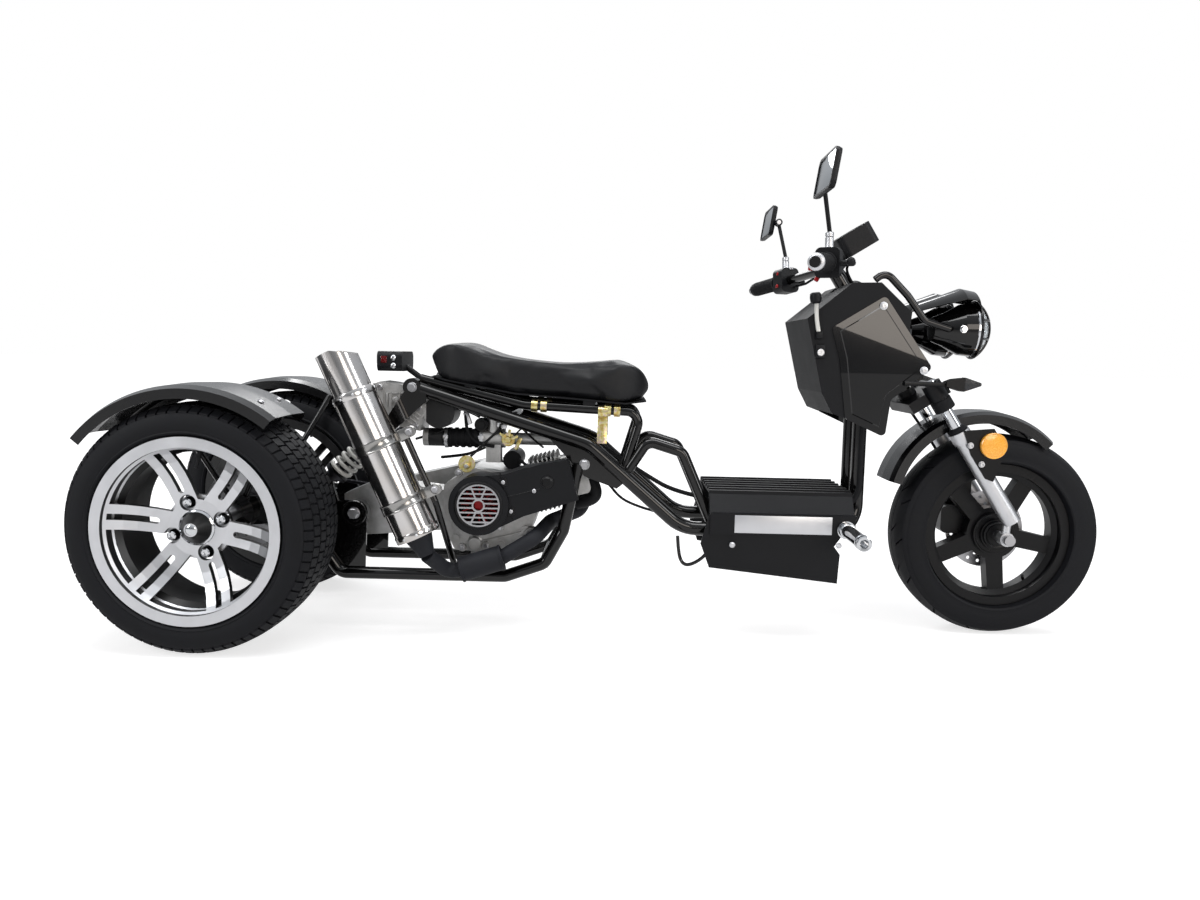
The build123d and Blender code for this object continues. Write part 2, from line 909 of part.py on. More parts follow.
def spoke_star(count, first_angle, hub_radius, reach, outer, root_width, tip_width, corner):
    """A disc with round-cornered windows, which leaves a hub and tapered arms that flare."""
    spans = Circle(reach) - Circle(hub_radius)
    length = reach + weld_overrun
    arm = make_face(Polyline((0, -root_width / 2), (length, -tip_width / 2),
                             (length, tip_width / 2), (0, root_width / 2), close=True))
    for index in range(count):
        spans -= Rot(0, 0, first_angle + index * 360 / count) * arm
    star = Circle(outer)
    for window in spans.faces():
        star -= fillet(window.vertices(), corner)
    return star


def front_rim():
    """A cast rim with five plain spokes and a stepped hub."""
    half = front_rim_width / 2
    barrel = rim_barrel(0, half, front_flange_thickness, front_barrel_wall,
                        front_bead_radius, front_flange_radius, front_axle_x, front_tyre_radius)
    outer = front_bead_radius - front_barrel_wall / 2
    star = spoke_star(front_spoke_count, front_spoke_first_angle, front_hub_radius,
                      outer - front_lip, outer, front_spoke_root_width, front_spoke_tip_width,
                      front_spoke_corner)
    stand = Plane(origin=(front_axle_x, front_spoke_thickness / 2, front_tyre_radius),
                  x_dir=(1, 0, 0), z_dir=(0, -1, 0))
    rim = barrel + stand * extrude(star, amount=front_spoke_thickness)
    for radius_share, reach_share in hub_step_shares:
        reach = front_hub_half_width * reach_share
        rim += drum(front_axle_x, front_tyre_radius, -reach, reach, front_hub_radius * radius_share)
    bore = drum(front_axle_x, front_tyre_radius, -front_rim_width, front_rim_width,
                axle_pin_diameter / 2 + running_clearance)
    return rim - bore


def brake_disc(x, z, y, radius, bore_radius, thickness):
    """A drilled disc."""
    disc = Circle(radius) - Circle(bore_radius)
    for ring_share in disc_hole_ring_shares:
        for index in range(disc_hole_count):
            angle = 2 * pi * (index + ring_share * 3) / disc_hole_count
            reach = radius * ring_share
            disc -= Pos(reach * cos(angle), reach * sin(angle)) * Circle(disc_hole_radius)
    stand = Plane(origin=(x, y + thickness / 2, z), x_dir=(1, 0, 0), z_dir=(0, -1, 0))
    return stand * extrude(disc, amount=thickness)


def toothed_wheel(teeth, radius, tooth_height, bore_radius, thickness, x, z, y):
    """A chain wheel."""
    wheel = Circle(radius - tooth_height)
    half_step = pi / teeth
    for index in range(teeth):
        middle = 2 * half_step * index
        tooth = []
        for reach_share, turn_share in tooth_shares:
            reach = radius - tooth_height * reach_share
            turn = middle + half_step * turn_share
            tooth.append((reach * cos(turn), reach * sin(turn)))
        wheel += make_face(Polyline(*tooth, close=True))
    wheel -= Circle(bore_radius)
    stand = Plane(origin=(x, y + thickness / 2, z), x_dir=(1, 0, 0), z_dir=(0, -1, 0))
    return stand * extrude(wheel, amount=thickness)


def rear_axle():
    """The live axle: its shaft, a hub for each wheel, the chain wheel and the brake disc."""
    hub_y = rear_track / 2 + rear_rim_width / 2 - spoke_face_inset - rear_dish
    inner_face = hub_y - spoke_thickness - hub_pad_stand - running_gap
    shaft = drum(rear_axle_x, rear_tyre_radius, -inner_face, inner_face, axle_diameter / 2)
    for side in (-1, 1):
        ends = sorted((side * (inner_face - axle_hub_thickness), side * inner_face))
        shaft += drum(rear_axle_x, rear_tyre_radius, *ends, axle_hub_radius)
    shaft += toothed_wheel(sprocket_teeth, sprocket_radius, sprocket_tooth_height,
                           axle_diameter / 4, sprocket_thickness, rear_axle_x, rear_tyre_radius,
                           sprocket_y)
    shaft += brake_disc(rear_axle_x, rear_tyre_radius, rear_disc_y, rear_disc_radius,
                        axle_diameter / 4, disc_thickness)
    return shaft


# Rear end
def swing_arm():
    """Two arms from the pivot to the bearing housings that carry the live axle."""
    arm = None
    for side in (-1, 1):
        middle = side * axle_housing_spacing / 2
        low = middle - axle_housing_width / 2
        high = middle + axle_housing_width / 2
        housing = drum(rear_axle_x, rear_tyre_radius, low, high, axle_housing_diameter / 2)
        boss = drum(pivot_x, pivot_z, middle - pivot_boss_width / 2, middle + pivot_boss_width / 2,
                    pivot_boss_radius)
        half_depth = swing_arm_depth / 2
        outline = [
            (rear_axle_x, rear_tyre_radius - half_depth), (pivot_x, pivot_z - pivot_half_depth),
            (pivot_x, pivot_z + pivot_half_depth), (rear_axle_x, rear_tyre_radius + half_depth),
        ]
        blade = side_panel(outline, middle - swing_arm_thickness / 2, middle + swing_arm_thickness / 2)
        ends = (middle - swing_arm_thickness / 2, middle + swing_arm_thickness / 2)
        lug = side_panel([(shock_low_x - 2 * shock_lug_radius, rear_tyre_radius),
                          (shock_low_x + 2 * shock_lug_radius, rear_tyre_radius),
                          (shock_low_x + shock_lug_half, shock_low_z),
                          (shock_low_x - shock_lug_half, shock_low_z)], *ends)
        lug += drum(shock_low_x, shock_low_z, *ends, shock_lug_radius)
        one = housing + boss + blade + lug
        arm = one if arm is None else arm + one
    cross_x = rear_axle_x + (pivot_x - rear_axle_x) * swing_cross_share
    arm += cross_bar(cross_x, rear_tyre_radius, axle_housing_spacing / 2, tube_diameter)
    bore = drum(rear_axle_x, rear_tyre_radius, -axle_housing_spacing, axle_housing_spacing,
                axle_diameter / 2 + running_clearance)
    pivot = drum(pivot_x, pivot_z, -axle_housing_spacing, axle_housing_spacing,
                 pivot_pin_radius + running_gap)
    return arm - bore - pivot


def shock_line(side):
    """The lower and upper eyes of a rear shock."""
    low = (shock_low_x, side * shock_eye_middle(), shock_low_z)
    high = (shock_high_x, side * shock_eye_middle(), shock_high_z)
    return low, high


def shock_bodies():
    bodies = []
    for side in (-1, 1):
        low, high = shock_line(side)
        low_vector = Vector(*low)
        run = Vector(*high) - low_vector
        start, end = shock_body_shares
        body = tube([low_vector + run * start, low_vector + run * end], shock_body_diameter)
        body += tube([low, high], shock_rod_diameter)
        for x, y, z in (low, high):
            body += drum(x, z, y - shock_eye_width / 2, y + shock_eye_width / 2, shock_eye_radius)
        for share in spring_seat_shares:
            cap = Plane(origin=low_vector + run * share, z_dir=run.normalized())
            body += cap * Cylinder(spring_diameter / 2, spring_wire)
        bodies.append(body)
    return bodies


def shock_springs():
    """A round wire wound between the two spring seats of each shock."""
    springs = []
    for side in (-1, 1):
        low, high = shock_line(side)
        run = Vector(*high) - Vector(*low)
        seat_low, seat_high = spring_seat_shares
        start = Vector(*low) + run * seat_low
        seat_gap = run.length * (seat_high - seat_low) - spring_wire
        height = seat_gap - spring_wire - 2 * running_gap
        wire_path = Helix(height / spring_turns, height, (spring_diameter - spring_wire) / 2)
        section = Plane(origin=wire_path @ 0, z_dir=wire_path % 0) * Circle(spring_wire / 2)
        coil = sweep(section, path=wire_path, is_frenet=True)
        foot = (seat_gap - height) / 2 + spring_wire / 2
        stand = Plane(origin=start, z_dir=run.normalized())
        springs.append(stand * Pos(0, 0, foot) * coil)
    return springs


def fender_shell(radius, width, lip, thickness, low_angle, high_angle, crown):
    """A curved channel about an axis across the vehicle, swept between two angles."""
    half = width / 2
    low = radius - lip
    outer = [(-half, low)]
    outer += [(half * out, radius - crown * fall) for out, fall in fender_shares]
    outer.append((half, low))
    inner = [(half - thickness, low)]
    inner += [((half - thickness) * out, radius - thickness - crown * fall)
              for out, fall in reversed(fender_shares)]
    inner.append((thickness - half, low))
    face = make_face(Polyline(*[(r, y) for y, r in outer + inner], close=True))
    shell = revolve(face, Axis.Y, revolution_arc=high_angle - low_angle)
    return Rot(0, -high_angle, 0) * shell


def rear_fender():
    shell = fender_shell(rear_fender_radius, rear_fender_width, rear_fender_lip,
                         rear_fender_thickness, rear_fender_front_angle,
                         rear_fender_rear_angle, rear_fender_crown)
    fender = Pos(rear_axle_x, -rear_track / 2, rear_tyre_radius) * shell
    inner_edge = (rear_fender_width - rear_track) / 2
    tip_y = inner_edge + fender_stay_diameter / 2 - running_gap
    foot_y = fender_stay_diameter - (axle_housing_spacing + axle_housing_width) / 2
    centre = Vector(rear_axle_x, 0, rear_tyre_radius)
    for angle in fender_stay_angles:
        up = Vector(cos(radians(angle)), 0, sin(radians(angle)))
        foot = centre + up * (axle_housing_diameter / 2 - fender_stay_diameter)
        tip = centre + up * (rear_fender_radius - rear_fender_thickness - rear_fender_crown)
        fender += tube([foot + Vector(0, foot_y, 0), tip + Vector(0, tip_y, 0)], fender_stay_diameter)
    return fender - drum(rear_axle_x, rear_tyre_radius, -rear_track / 2, 0,
                         axle_housing_diameter / 2 + running_gap)


def front_fender():
    shell = fender_shell(front_fender_radius, front_fender_width, front_fender_drop,
                         front_fender_thickness, front_fender_front_angle,
                         front_fender_rear_angle, front_fender_crown)
    return Pos(front_axle_x - front_fender_set_back, 0, front_tyre_radius + front_fender_rise) * shell


# Seat
def seat_outline():
    corner = (seat_rear_x, seat_low_z)
    size = (seat_length, seat_high_z - seat_low_z)
    top = Spline(*spread(seat_top_shares, corner, size))
    low = Polyline(*spread(seat_low_shares, corner, size))
    rear = Line(low @ 1, top @ 0)
    front = Line(top @ 1, low @ 0)
    return make_face([top, front, low, rear])


def seat():
    """A long padded saddle: its side outline, cut to a rounded plan."""
    block = extrude(seat_outline(), amount=seat_width)
    stand = Plane(origin=(0, seat_width / 2, 0), x_dir=(1, 0, 0), z_dir=(0, -1, 0))
    middle_x = seat_rear_x + seat_length / 2
    plan = RectangleRounded(seat_length + 2 * weld_overrun, seat_width, seat_corner_radius)
    column = Pos(middle_x, 0, seat_low_z - weld_overrun) * extrude(
        plan, amount=2 * (seat_high_z - seat_low_z))
    return (stand * block) & column


def seat_pan(rail):
    """The pan under the padding, on four feet that stand on the rails."""
    corner = (seat_rear_x, seat_low_z)
    size = (seat_length, seat_high_z - seat_low_z)
    top = spread(seat_low_shares, corner, size)
    points = [(x, z - running_gap) for x, z in top]
    points += [(x, z - pan_thickness) for x, z in reversed(top)]
    pan = side_panel(points, -pan_half_width, pan_half_width)
    feet = (seat_rail_rear_x + rear_foot_share * (seat_rail_mid_x - seat_rail_rear_x),
            seat_rail_mid_x + front_foot_share * (seat_rail_front_x - seat_rail_mid_x))
    for x in feet:
        for side in (-1, 1):
            low = seat_rail_height(x)
            high = seat_low_height(x) - pan_thickness * pan_foot_bury_share
            pan += Pos(x, side * seat_rail_half_width, (low + high) / 2) * Box(
                pan_foot_length, pan_foot_width, high - low)
    return (pan - rail).solids().sort_by(SortBy.VOLUME)[-1]


def seat_low_height(x):
    """The height of the seat's underside above a place, along its straight spans."""
    share = (x - seat_rear_x) / seat_length
    spans = list(zip(seat_low_shares[1:], seat_low_shares))
    (x0, z0), (x1, z1) = [span for span in spans if span[0][0] <= share][0]
    up = z0 + (z1 - z0) * (share - x0) / (x1 - x0)
    return seat_low_z + up * (seat_high_z - seat_low_z)


def seat_rail_height(x):
    """The rail's centre height under the seat."""
    if x < seat_rail_mid_x:
        share = (x - seat_rail_rear_x) / (seat_rail_mid_x - seat_rail_rear_x)
        return seat_rail_rear_z + share * (seat_rail_mid_z - seat_rail_rear_z)
    share = (x - seat_rail_mid_x) / (seat_rail_front_x - seat_rail_mid_x)
    return seat_rail_mid_z + share * (seat_rail_front_z - seat_rail_mid_z)


def seat_clamps():
    """Paired bands round each rail."""
    bands = []
    for side in (-1, 1):
        for share in clamp_shares:
            for step in (-1, 1):
                x = seat_rail_mid_x + share * (seat_rail_front_x - seat_rail_mid_x)
                x += step * (clamp_width + clamp_gap) / 2
                slope = (seat_rail_front_z - seat_rail_mid_z) / (seat_rail_front_x - seat_rail_mid_x)
                centre = (x, side * seat_rail_half_width, seat_rail_height(x))
                stand = Plane(origin=centre, z_dir=Vector(1, 0, slope).normalized())
                ring = Circle(seat_rail_diameter / 2 + clamp_wall + running_gap)
                ring -= Circle(seat_rail_diameter / 2 + running_gap)
                bands.append(stand * extrude(ring, amount=clamp_width / 2, both=True))
    return bands


# Engine
def engine_point(along, up):
    """A point counted along the tilted cylinder from the crankshaft, and square to it."""
    tilt = radians(cylinder_tilt)
    x = crank_x + along * cos(tilt) - up * sin(tilt)
    z = crank_z + along * sin(tilt) + up * cos(tilt)
    return (x, z)


def crankcase():
    corner = (crank_x + crankcase_rear, crank_z + crankcase_low)
    points = spread(crankcase_shares, corner, (crankcase_length, crankcase_height))
    case = side_panel(points, -engine_half_width, engine_half_width, crankcase_corner)
    start = engine_point(cylinder_start, 0)
    tilt = cylinder_tilt
    ahead = Box(crankcase_length, 3 * engine_half_width, 2 * crankcase_height,
                align=(Align.MIN, Align.CENTER, Align.CENTER))
    case -= Pos(start[0], 0, start[1]) * Rot(0, -tilt, 0) * ahead
    for x, z in spread(case_boss_shares, corner, (crankcase_length, crankcase_height)):
        case += drum(x, z, -engine_half_width - case_boss_stand, engine_half_width, case_boss_radius)
    foot_low = cradle_low_z + cross_tube_diameter / 2 + running_gap
    foot_high = crank_z + crankcase_low + crankcase_corner
    foot = Pos(engine_foot_x, 0, (foot_low + foot_high) / 2) * Box(
        engine_foot_length, engine_half_width, foot_high - foot_low)
    return case + foot


def cylinder():
    """The finned cylinder and its head, which lean forward from the crankcase."""
    tilt = radians(cylinder_tilt)
    start = engine_point(cylinder_start, 0)
    stand = Plane(origin=(start[0], 0, start[1]), x_dir=(0, 1, 0), z_dir=(cos(tilt), 0, sin(tilt)))
    barrel = extrude(Circle(cylinder_radius), amount=cylinder_length)
    step = cylinder_length / (cylinder_fin_count + 1)
    fin = extrude(RectangleRounded(2 * cylinder_fin_radius, 2 * cylinder_fin_radius, fin_corner),
                  amount=cylinder_fin_thickness)
    for index in range(cylinder_fin_count):
        barrel += Pos(0, 0, step * (index + 1)) * fin
    head = extrude(RectangleRounded(head_width, head_height, fin_corner), amount=head_depth)
    cover = extrude(RectangleRounded(head_depth - head_cover_step, head_height - head_cover_step,
                                     fin_corner), amount=head_cover_reach)
    cover = Plane(origin=(-head_width / 2, 0, head_depth / 2), x_dir=(0, 0, 1), z_dir=(-1, 0, 0)) * cover
    return stand * (barrel + Pos(0, 0, cylinder_length) * (head + cover))


def fan_cover_faces():
    """The shroud's outer face, and its inner face against the engine."""
    high = -engine_half_width - running_gap
    return high - fan_cover_depth, high


def fan_cover():
    """The shroud beside the engine: a ring round the fan, then a box forward over the cylinder."""
    low, high = fan_cover_faces()
    ring = drum(crank_x, crank_z, low, high, fan_ring_radius)
    points = [engine_point(along * shroud_length, up * shroud_height) for along, up in shroud_shares]
    tube_face = -(cradle_half_width + cradle_diameter / 2 + clear_of_tube)
    box = side_panel(points, low + shroud_step, tube_face)
    length = shroud_length * shroud_inner_share
    points = [engine_point(along * length, up * shroud_height) for along, up in shroud_shares]
    shroud = ring + box + side_panel(points, low + shroud_step, high)
    mouth = drum(crank_x, crank_z, low - weld_overrun, high - shroud_wall, fan_mouth_radius)
    return shroud - mouth


def cooling_fan():
    """A hub with straight blades on the end of the crankshaft."""
    low, high = fan_cover_faces()
    high -= shroud_wall + running_gap
    low = high - fan_depth
    wheel = drum(crank_x, crank_z, high - fan_plate, high, fan_mouth_radius - fan_gap)
    wheel += drum(crank_x, crank_z, low, high, fan_hub_radius)
    stand = Plane(origin=(crank_x, high, crank_z), x_dir=(1, 0, 0), z_dir=(0, -1, 0))
    reach = fan_mouth_radius - fan_gap - fan_blade_root
    blade = Pos(fan_blade_root + reach / 2, 0, fan_depth / 2) * Box(
        reach, fan_blade_thickness, fan_depth)
    for index in range(fan_blade_count):
        wheel += stand * Rot(0, 0, 360 * index / fan_blade_count) * blade
    return wheel


def fan_grille():
    """A ring with level bars and two cross bars over the fan's mouth."""
    outer = fan_mouth_radius - running_gap
    sketch = Circle(outer) - Circle(outer - grille_bar)
    step = 2 * outer / (grille_bar_count + 1)
    bars = Rot(0, 0, grille_cross_angle) * Rectangle(2 * outer, grille_bar)
    bars += Rot(0, 0, -grille_cross_angle) * Rectangle(2 * outer, grille_bar)
    for index in range(grille_bar_count):
        bars += Pos(0, -outer + step * (index + 1)) * Rectangle(2 * outer, grille_bar)
    sketch += (bars & Circle(outer)) - Circle(fan_hub_radius)
    sketch += Circle(fan_hub_radius + grille_bar) - Circle(fan_hub_radius)
    low, high = fan_cover_faces()
    stand = Plane(origin=(crank_x, low + grille_depth, crank_z), x_dir=(1, 0, 0), z_dir=(0, -1, 0))
    return stand * extrude(sketch, amount=grille_depth)


def belt_case():
    """The long belt housing on the engine's left side, back to the chain wheel's shaft."""
    low = engine_half_width + running_gap
    high = low + belt_case_depth
    outline = make_hull((Pos(crank_x, crank_z) * Circle(belt_case_drum_radius)).edges()
                        + (Pos(pivot_x + belt_case_set_back, pivot_z)
                           * Circle(belt_case_end_radius)).edges())
    stand = Plane(origin=(0, high, 0), x_dir=(1, 0, 0), z_dir=(0, -1, 0))
    case = stand * extrude(outline, amount=belt_case_depth)
    for x, z, radius in ((crank_x, crank_z, belt_case_drum_radius),
                         (pivot_x + belt_case_set_back, pivot_z, belt_case_end_radius)):
        case += drum(x, z, high, high + belt_case_boss, radius * belt_case_boss_share)
    return case


def gear_case():
    """The reduction gears' case behind the engine, with the drive shaft to the chain."""
    points = spread(gear_case_shares, (pivot_x - gear_case_back, pivot_z - gear_case_height / 2),
                    (crank_x + crankcase_rear - pivot_x + gear_case_back, gear_case_height))
    case = side_panel(points, -gear_case_half_width, gear_case_half_width)
    return case + drum(pivot_x, pivot_z, gear_case_half_width, sprocket_y + sprocket_thickness,
                       drive_bore_radius - running_gap)


def air_filter():
    """A ribbed cast box with a round drum on its front corner."""
    low = -(spine_half_width - tube_diameter / 2 - running_gap)
    air_box_y = low + air_box_width / 2
    box = side_panel(spread(air_box_shares, (air_box_x, air_box_z), (air_box_length, air_box_height)),
                     low, low + air_box_width)
    box += tube([(hose_rear_x - air_outlet_length, hose_y, hose_z),
                 (hose_rear_x - running_gap, hose_y, hose_z)], hose_diameter)
    drum_x = air_box_x + air_box_length + air_drum_lead
    drum_z = hose_z + hose_diameter / 2 + hose_rib_height + air_drum_radius + running_gap
    half_width = air_box_width * air_drum_width_share / 2
    box += drum(drum_x, drum_z, air_box_y - half_width, air_box_y + half_width, air_drum_radius)
    for index in range(air_rib_count):
        x = air_box_x + air_box_length * (index + 1) / (2 * air_rib_count)
        y = air_box_y - air_box_width / 2 - air_rib_height / 2
        box += Pos(x, y, air_box_z + air_box_height / 2) * Box(
            air_rib_width, air_rib_height, air_rib_length)
    return box


def intake_hose():
    """A ribbed rubber hose from the filter's drum to the carburettor."""
    body = tube([(hose_rear_x, hose_y, hose_z), (hose_front_x, hose_y, hose_z)], hose_diameter)
    step = (hose_front_x - hose_rear_x) / (hose_rib_count + 1)
    for index in range(hose_rib_count):
        x = hose_rear_x + step * (index + 1)
        body += Pos(x, hose_y, hose_z) * Rot(0, 90, 0) * Cylinder(
            hose_diameter / 2 + hose_rib_height, hose_rib_width)
    return body


def carburettor(head):
    """A bored body with a float bowl below and a slide cap above."""
    start_x = hose_front_x + running_gap
    body = Pos(start_x + carb_length / 2, hose_y, hose_z) * Rot(0, 90, 0) * Cylinder(
        carb_radius, carb_length)
    middle = start_x + carb_length / 2
    body += Pos(middle, hose_y, hose_z - carb_radius - carb_bowl_height / 2) * Box(
        carb_bowl_length, carb_bowl_length, carb_bowl_height + carb_radius)
    body += Pos(middle, hose_y, hose_z + carb_cap_height / 2) * Cylinder(
        carb_cap_radius, carb_cap_height)
    port = engine_point(cylinder_start + cylinder_length + head_depth / 2, head_height / 2 - weld_overrun)
    neck = tube([(start_x + carb_length - weld_overrun, hose_y, hose_z),
                 (port[0], hose_y, hose_z), (port[0], hose_y, port[1])],
                carb_neck_diameter, carb_neck_diameter)
    return (body + neck) - head


def starter_motor():
    start = engine_point(cylinder_start - starter_back, starter_rise)
    return drum(start[0], start[1], starter_y - starter_length / 2, starter_y + starter_length / 2,
                starter_radius)


# Exhaust
def muffler_direction():
    run = Vector(muffler_x_high - muffler_x_low, 0, muffler_z_high - muffler_z_low)
    return run.normalized(), run.length


def muffler():
    """A round can with a slash-cut tip and two bands with ears."""
    direction, length = muffler_direction()
    stand = Plane(origin=(muffler_x_low, muffler_y, muffler_z_low), x_dir=(0, 1, 0), z_dir=direction)
    can = Cylinder(muffler_diameter / 2, length, align=(Align.CENTER, Align.CENTER, Align.MIN))
    can += Pos(0, 0, length) * Cylinder(tip_diameter / 2, tip_length,
                                        align=(Align.CENTER, Align.CENTER, Align.MIN))
    can -= Pos(0, 0, length - tip_bore_depth) * Cylinder(
        outlet_bore_diameter / 2, tip_length + tip_bore_depth + weld_overrun,
        align=(Align.CENTER, Align.CENTER, Align.MIN))
    for share in band_shares:
        band = Pos(0, 0, length * share) * Cylinder(
            muffler_diameter / 2 + band_wall, band_width, align=(Align.CENTER, Align.CENTER, Align.MIN))
        can += band - Pos(0, 0, length * share) * Cylinder(
            outlet_bore_diameter / 2, band_width, align=(Align.CENTER, Align.CENTER, Align.MIN))
        can += Pos(0, -(muffler_diameter + ear_reach) / 2, length * share + band_width / 2) * Box(
            ear_thickness, ear_reach + 2 * band_wall, band_width)
    slash = Pos(0, 0, length + tip_length) * Rot(tip_slash_angle, 0, 0) * Box(
        2 * tip_length, 2 * tip_length, tip_diameter,
        align=(Align.CENTER, Align.CENTER, Align.MIN))
    return stand * (can - slash)


def exhaust_pipe(head):
    """From the cylinder head down and back under the engine, through a fat chamber, to the can."""
    direction, length = muffler_direction()
    can_foot = Vector(muffler_x_low, muffler_y, muffler_z_low)
    cone_end = can_foot - direction * (cone_length + running_gap)
    port = engine_point(cylinder_start + cylinder_length + head_depth / 2, -head_height / 2)
    chamber_rear = Vector(chamber_x, chamber_y, chamber_z)
    chamber_front = chamber_rear + Vector(chamber_length, chamber_shift, chamber_rise)
    pipe = tube([(port[0], 0, port[1] + weld_overrun),
                 (port[0], 0, port[1] - port_drop),
                 (pipe_knee_x, pipe_knee_y, pipe_knee_z),
                 (pipe_out_x, pipe_out_y, pipe_out_z),
                 chamber_front], pipe_diameter, pipe_bend)
    pipe += tube([chamber_front, chamber_rear], chamber_diameter)
    pipe += tube([chamber_rear, chamber_rear - Vector(chamber_tail, 0, chamber_fall),
                  cone_end], pipe_diameter, pipe_bend)
    stand = Plane(origin=cone_end, z_dir=direction)
    pipe += stand * Cone(pipe_diameter / 2, cone_diameter / 2, cone_length,
                         align=(Align.CENTER, Align.CENTER, Align.MIN))
    return pipe - head


def ear_point(share):
    """The middle of a band's ear, ahead of the can."""
    direction, length = muffler_direction()
    centre = Vector(muffler_x_low, muffler_y, muffler_z_low) + direction * (
        length * share + band_width / 2)
    ahead = Vector(direction.Z, 0, -direction.X)
    return centre + ahead * (muffler_diameter / 2 + ear_reach / 2)


def muffler_stay(cradle):
    """A round bar inside the bands' ears that runs down to the cradle."""
    inward = Vector(0, ear_thickness / 2 + stay_diameter / 2 + running_gap, 0)
    low, high = [ear_point(share) + inward for share in band_shares]
    foot = Vector(low.X + stay_foot_lead, -cradle_half_width, cradle_low_z)
    knee = low - (high - low).normalized() * stay_diameter * 2
    bar = tube([high, knee, foot], stay_diameter, stay_diameter)
    return (bar - cradle).solids().sort_by(SortBy.VOLUME)[-1]


# Floorboard
def floorboard():
    """A folded pan: rims at the sides, sloped shoulders, a raised ribbed top."""
    sheet = deck_sheet
    outer = [
        (-deck_half_width, deck_rim_z - deck_rim_height), (-deck_half_width, deck_rim_z),
        (-deck_half_width + deck_ledge, deck_rim_z),
        (-deck_half_width + deck_ledge + deck_shoulder, deck_top_z),
    ]
    inner = [
        (-deck_half_width + deck_ledge + deck_shoulder + sheet / 3, deck_top_z - sheet),
        (-deck_half_width + deck_ledge + sheet / 3, deck_rim_z - sheet),
        (-deck_half_width + sheet, deck_rim_z - sheet),
        (-deck_half_width + sheet, deck_rim_z - deck_rim_height),
    ]
    outline = outer + [(-y, z) for y, z in reversed(outer)]
    outline += [(-y, z) for y, z in reversed(inner)] + inner
    face = make_face(Polyline(*outline, close=True))
    top_half = deck_half_width - deck_ledge - deck_shoulder
    step = 2 * top_half / rib_count
    for index in range(rib_count):
        y = -top_half + step * index + step / 2
        face += Pos(y, deck_top_z + rib_height / 2) * Rectangle(rib_width, rib_height)
    foot_low = deck_tube_z + tube_diameter / 2 + running_gap
    foot_high = deck_rim_z - sheet / 2
    for side in (-1, 1):
        slope = (deck_top_z - deck_rim_z) / deck_shoulder
        reach = deck_half_width - deck_ledge - spine_half_width
        foot_top = foot_high + max(reach, 0) * slope
        face += Pos(side * spine_half_width, (foot_low + foot_top) / 2) * Rectangle(
            foot_width, foot_top - foot_low)
    stand = Plane(origin=(deck_rear_x, 0, 0), x_dir=(0, 1, 0), z_dir=(1, 0, 0))
    board = stand * extrude(face, amount=deck_front_x - deck_rear_x)
    for space in hoop_bars(running_gap):
        board -= space
    return board


def side_skirt():
    """A dark flap that hangs below the floorboard's rim."""
    corner = (deck_rear_x - skirt_lead, deck_rim_z - deck_sheet - skirt_drop)
    size = (deck_front_x - deck_rear_x + skirt_lead, skirt_drop - running_gap)
    points = spread(skirt_shares, corner, size)
    high = -(deck_half_width - deck_sheet - running_gap) + skirt_thickness
    return side_panel(points, high - skirt_thickness, high)


def foot_peg():
    """A hollow peg that stands out from the floorboard's side."""
    start = -deck_half_width - running_gap
    peg = drum(peg_x, peg_z, start - peg_length, start, peg_radius)
    peg += drum(peg_x, peg_z, start - peg_flange, start, peg_flange_radius)
    return peg - drum(peg_x, peg_z, start - peg_length - weld_overrun, start - peg_length + peg_bore_depth,
                      peg_bore_radius)


# Fairing
def fairing_points():
    return spread(fairing_shares, (fairing_rear_x, fairing_low_z), (fairing_length, fairing_height))


def fairing_panel():
    """A side panel with a border round a raised field with bevelled edges."""
    outline = fillet(make_face(Polyline(*fairing_points(), close=True)).vertices(), fairing_corner)
    field = extrude(offset(outline, -fairing_border), amount=fairing_raise, taper=fairing_bevel)
    plate_depth = fairing_thickness - fairing_raise
    stand = Plane(origin=(0, -fairing_half_width + fairing_thickness, 0), x_dir=(1, 0, 0),
                  z_dir=(0, -1, 0))
    return stand * (extrude(outline, amount=plate_depth) + Pos(0, 0, plate_depth) * field)


def leg_shield():
    """The cover between the panels: its rear wall faces the rider, its hood closes the top."""
    half = fairing_half_width - fairing_thickness - running_gap
    outer = spread(shield_shares, (shield_x, fairing_low_z), (shield_length, shield_height))
    block = side_panel(outer, -half, half)
    inner = spread(shield_inner_shares, (shield_x, fairing_low_z), (shield_length, shield_height))
    hollow = side_panel(inner, -half + fairing_thickness, half - fairing_thickness)
    passage = steering_plane(bar_distance / 2 + head_tube_start + head_tube_length / 2) * Cylinder(
        riser_diameter / 2 + riser_clearance, bar_distance - head_tube_start)
    return block - hollow - passage


def lamp_bracket():
    """A tube from the hood to the lamp, down the fairing's front edge."""
    y = -(lamp_half_spacing + lamp_radius * lamp_neck_share + running_gap + guard_tube_diameter / 2)
    points = [(x, y, z) for x, z in spread(guard_shares, (guard_x, lamp_z), (guard_length, guard_height))]
    return tube(points, guard_tube_diameter, guard_bend)


def lamp_turning(profile, side):
    """Turns an outline of (forward, radius) about a lamp's axis."""
    face = make_face(Polyline(*profile, close=True))
    return Pos(lamp_x, side * lamp_half_spacing, lamp_z) * revolve(face, Axis.X)


def headlamp(side):
    """A bowl that narrows towards its back, with a rim round the lens."""
    profile = [(-lamp_depth * back, lamp_radius * out) for back, out in lamp_back_shares]
    profile.append((0, lamp_radius - lamp_rim))
    profile += [(-lamp_depth * back, lamp_radius * out) for back, out in lamp_bowl_shares]
    return lamp_turning(profile, side)


def lens_dome():
    """How far ahead of the rim a lens dome's centre lies, and the dome's radius."""
    base = lamp_radius - running_gap
    dome_radius = (base ** 2 + lamp_lens_height ** 2) / (2 * lamp_lens_height)
    return running_gap + lamp_lens_height - dome_radius, dome_radius


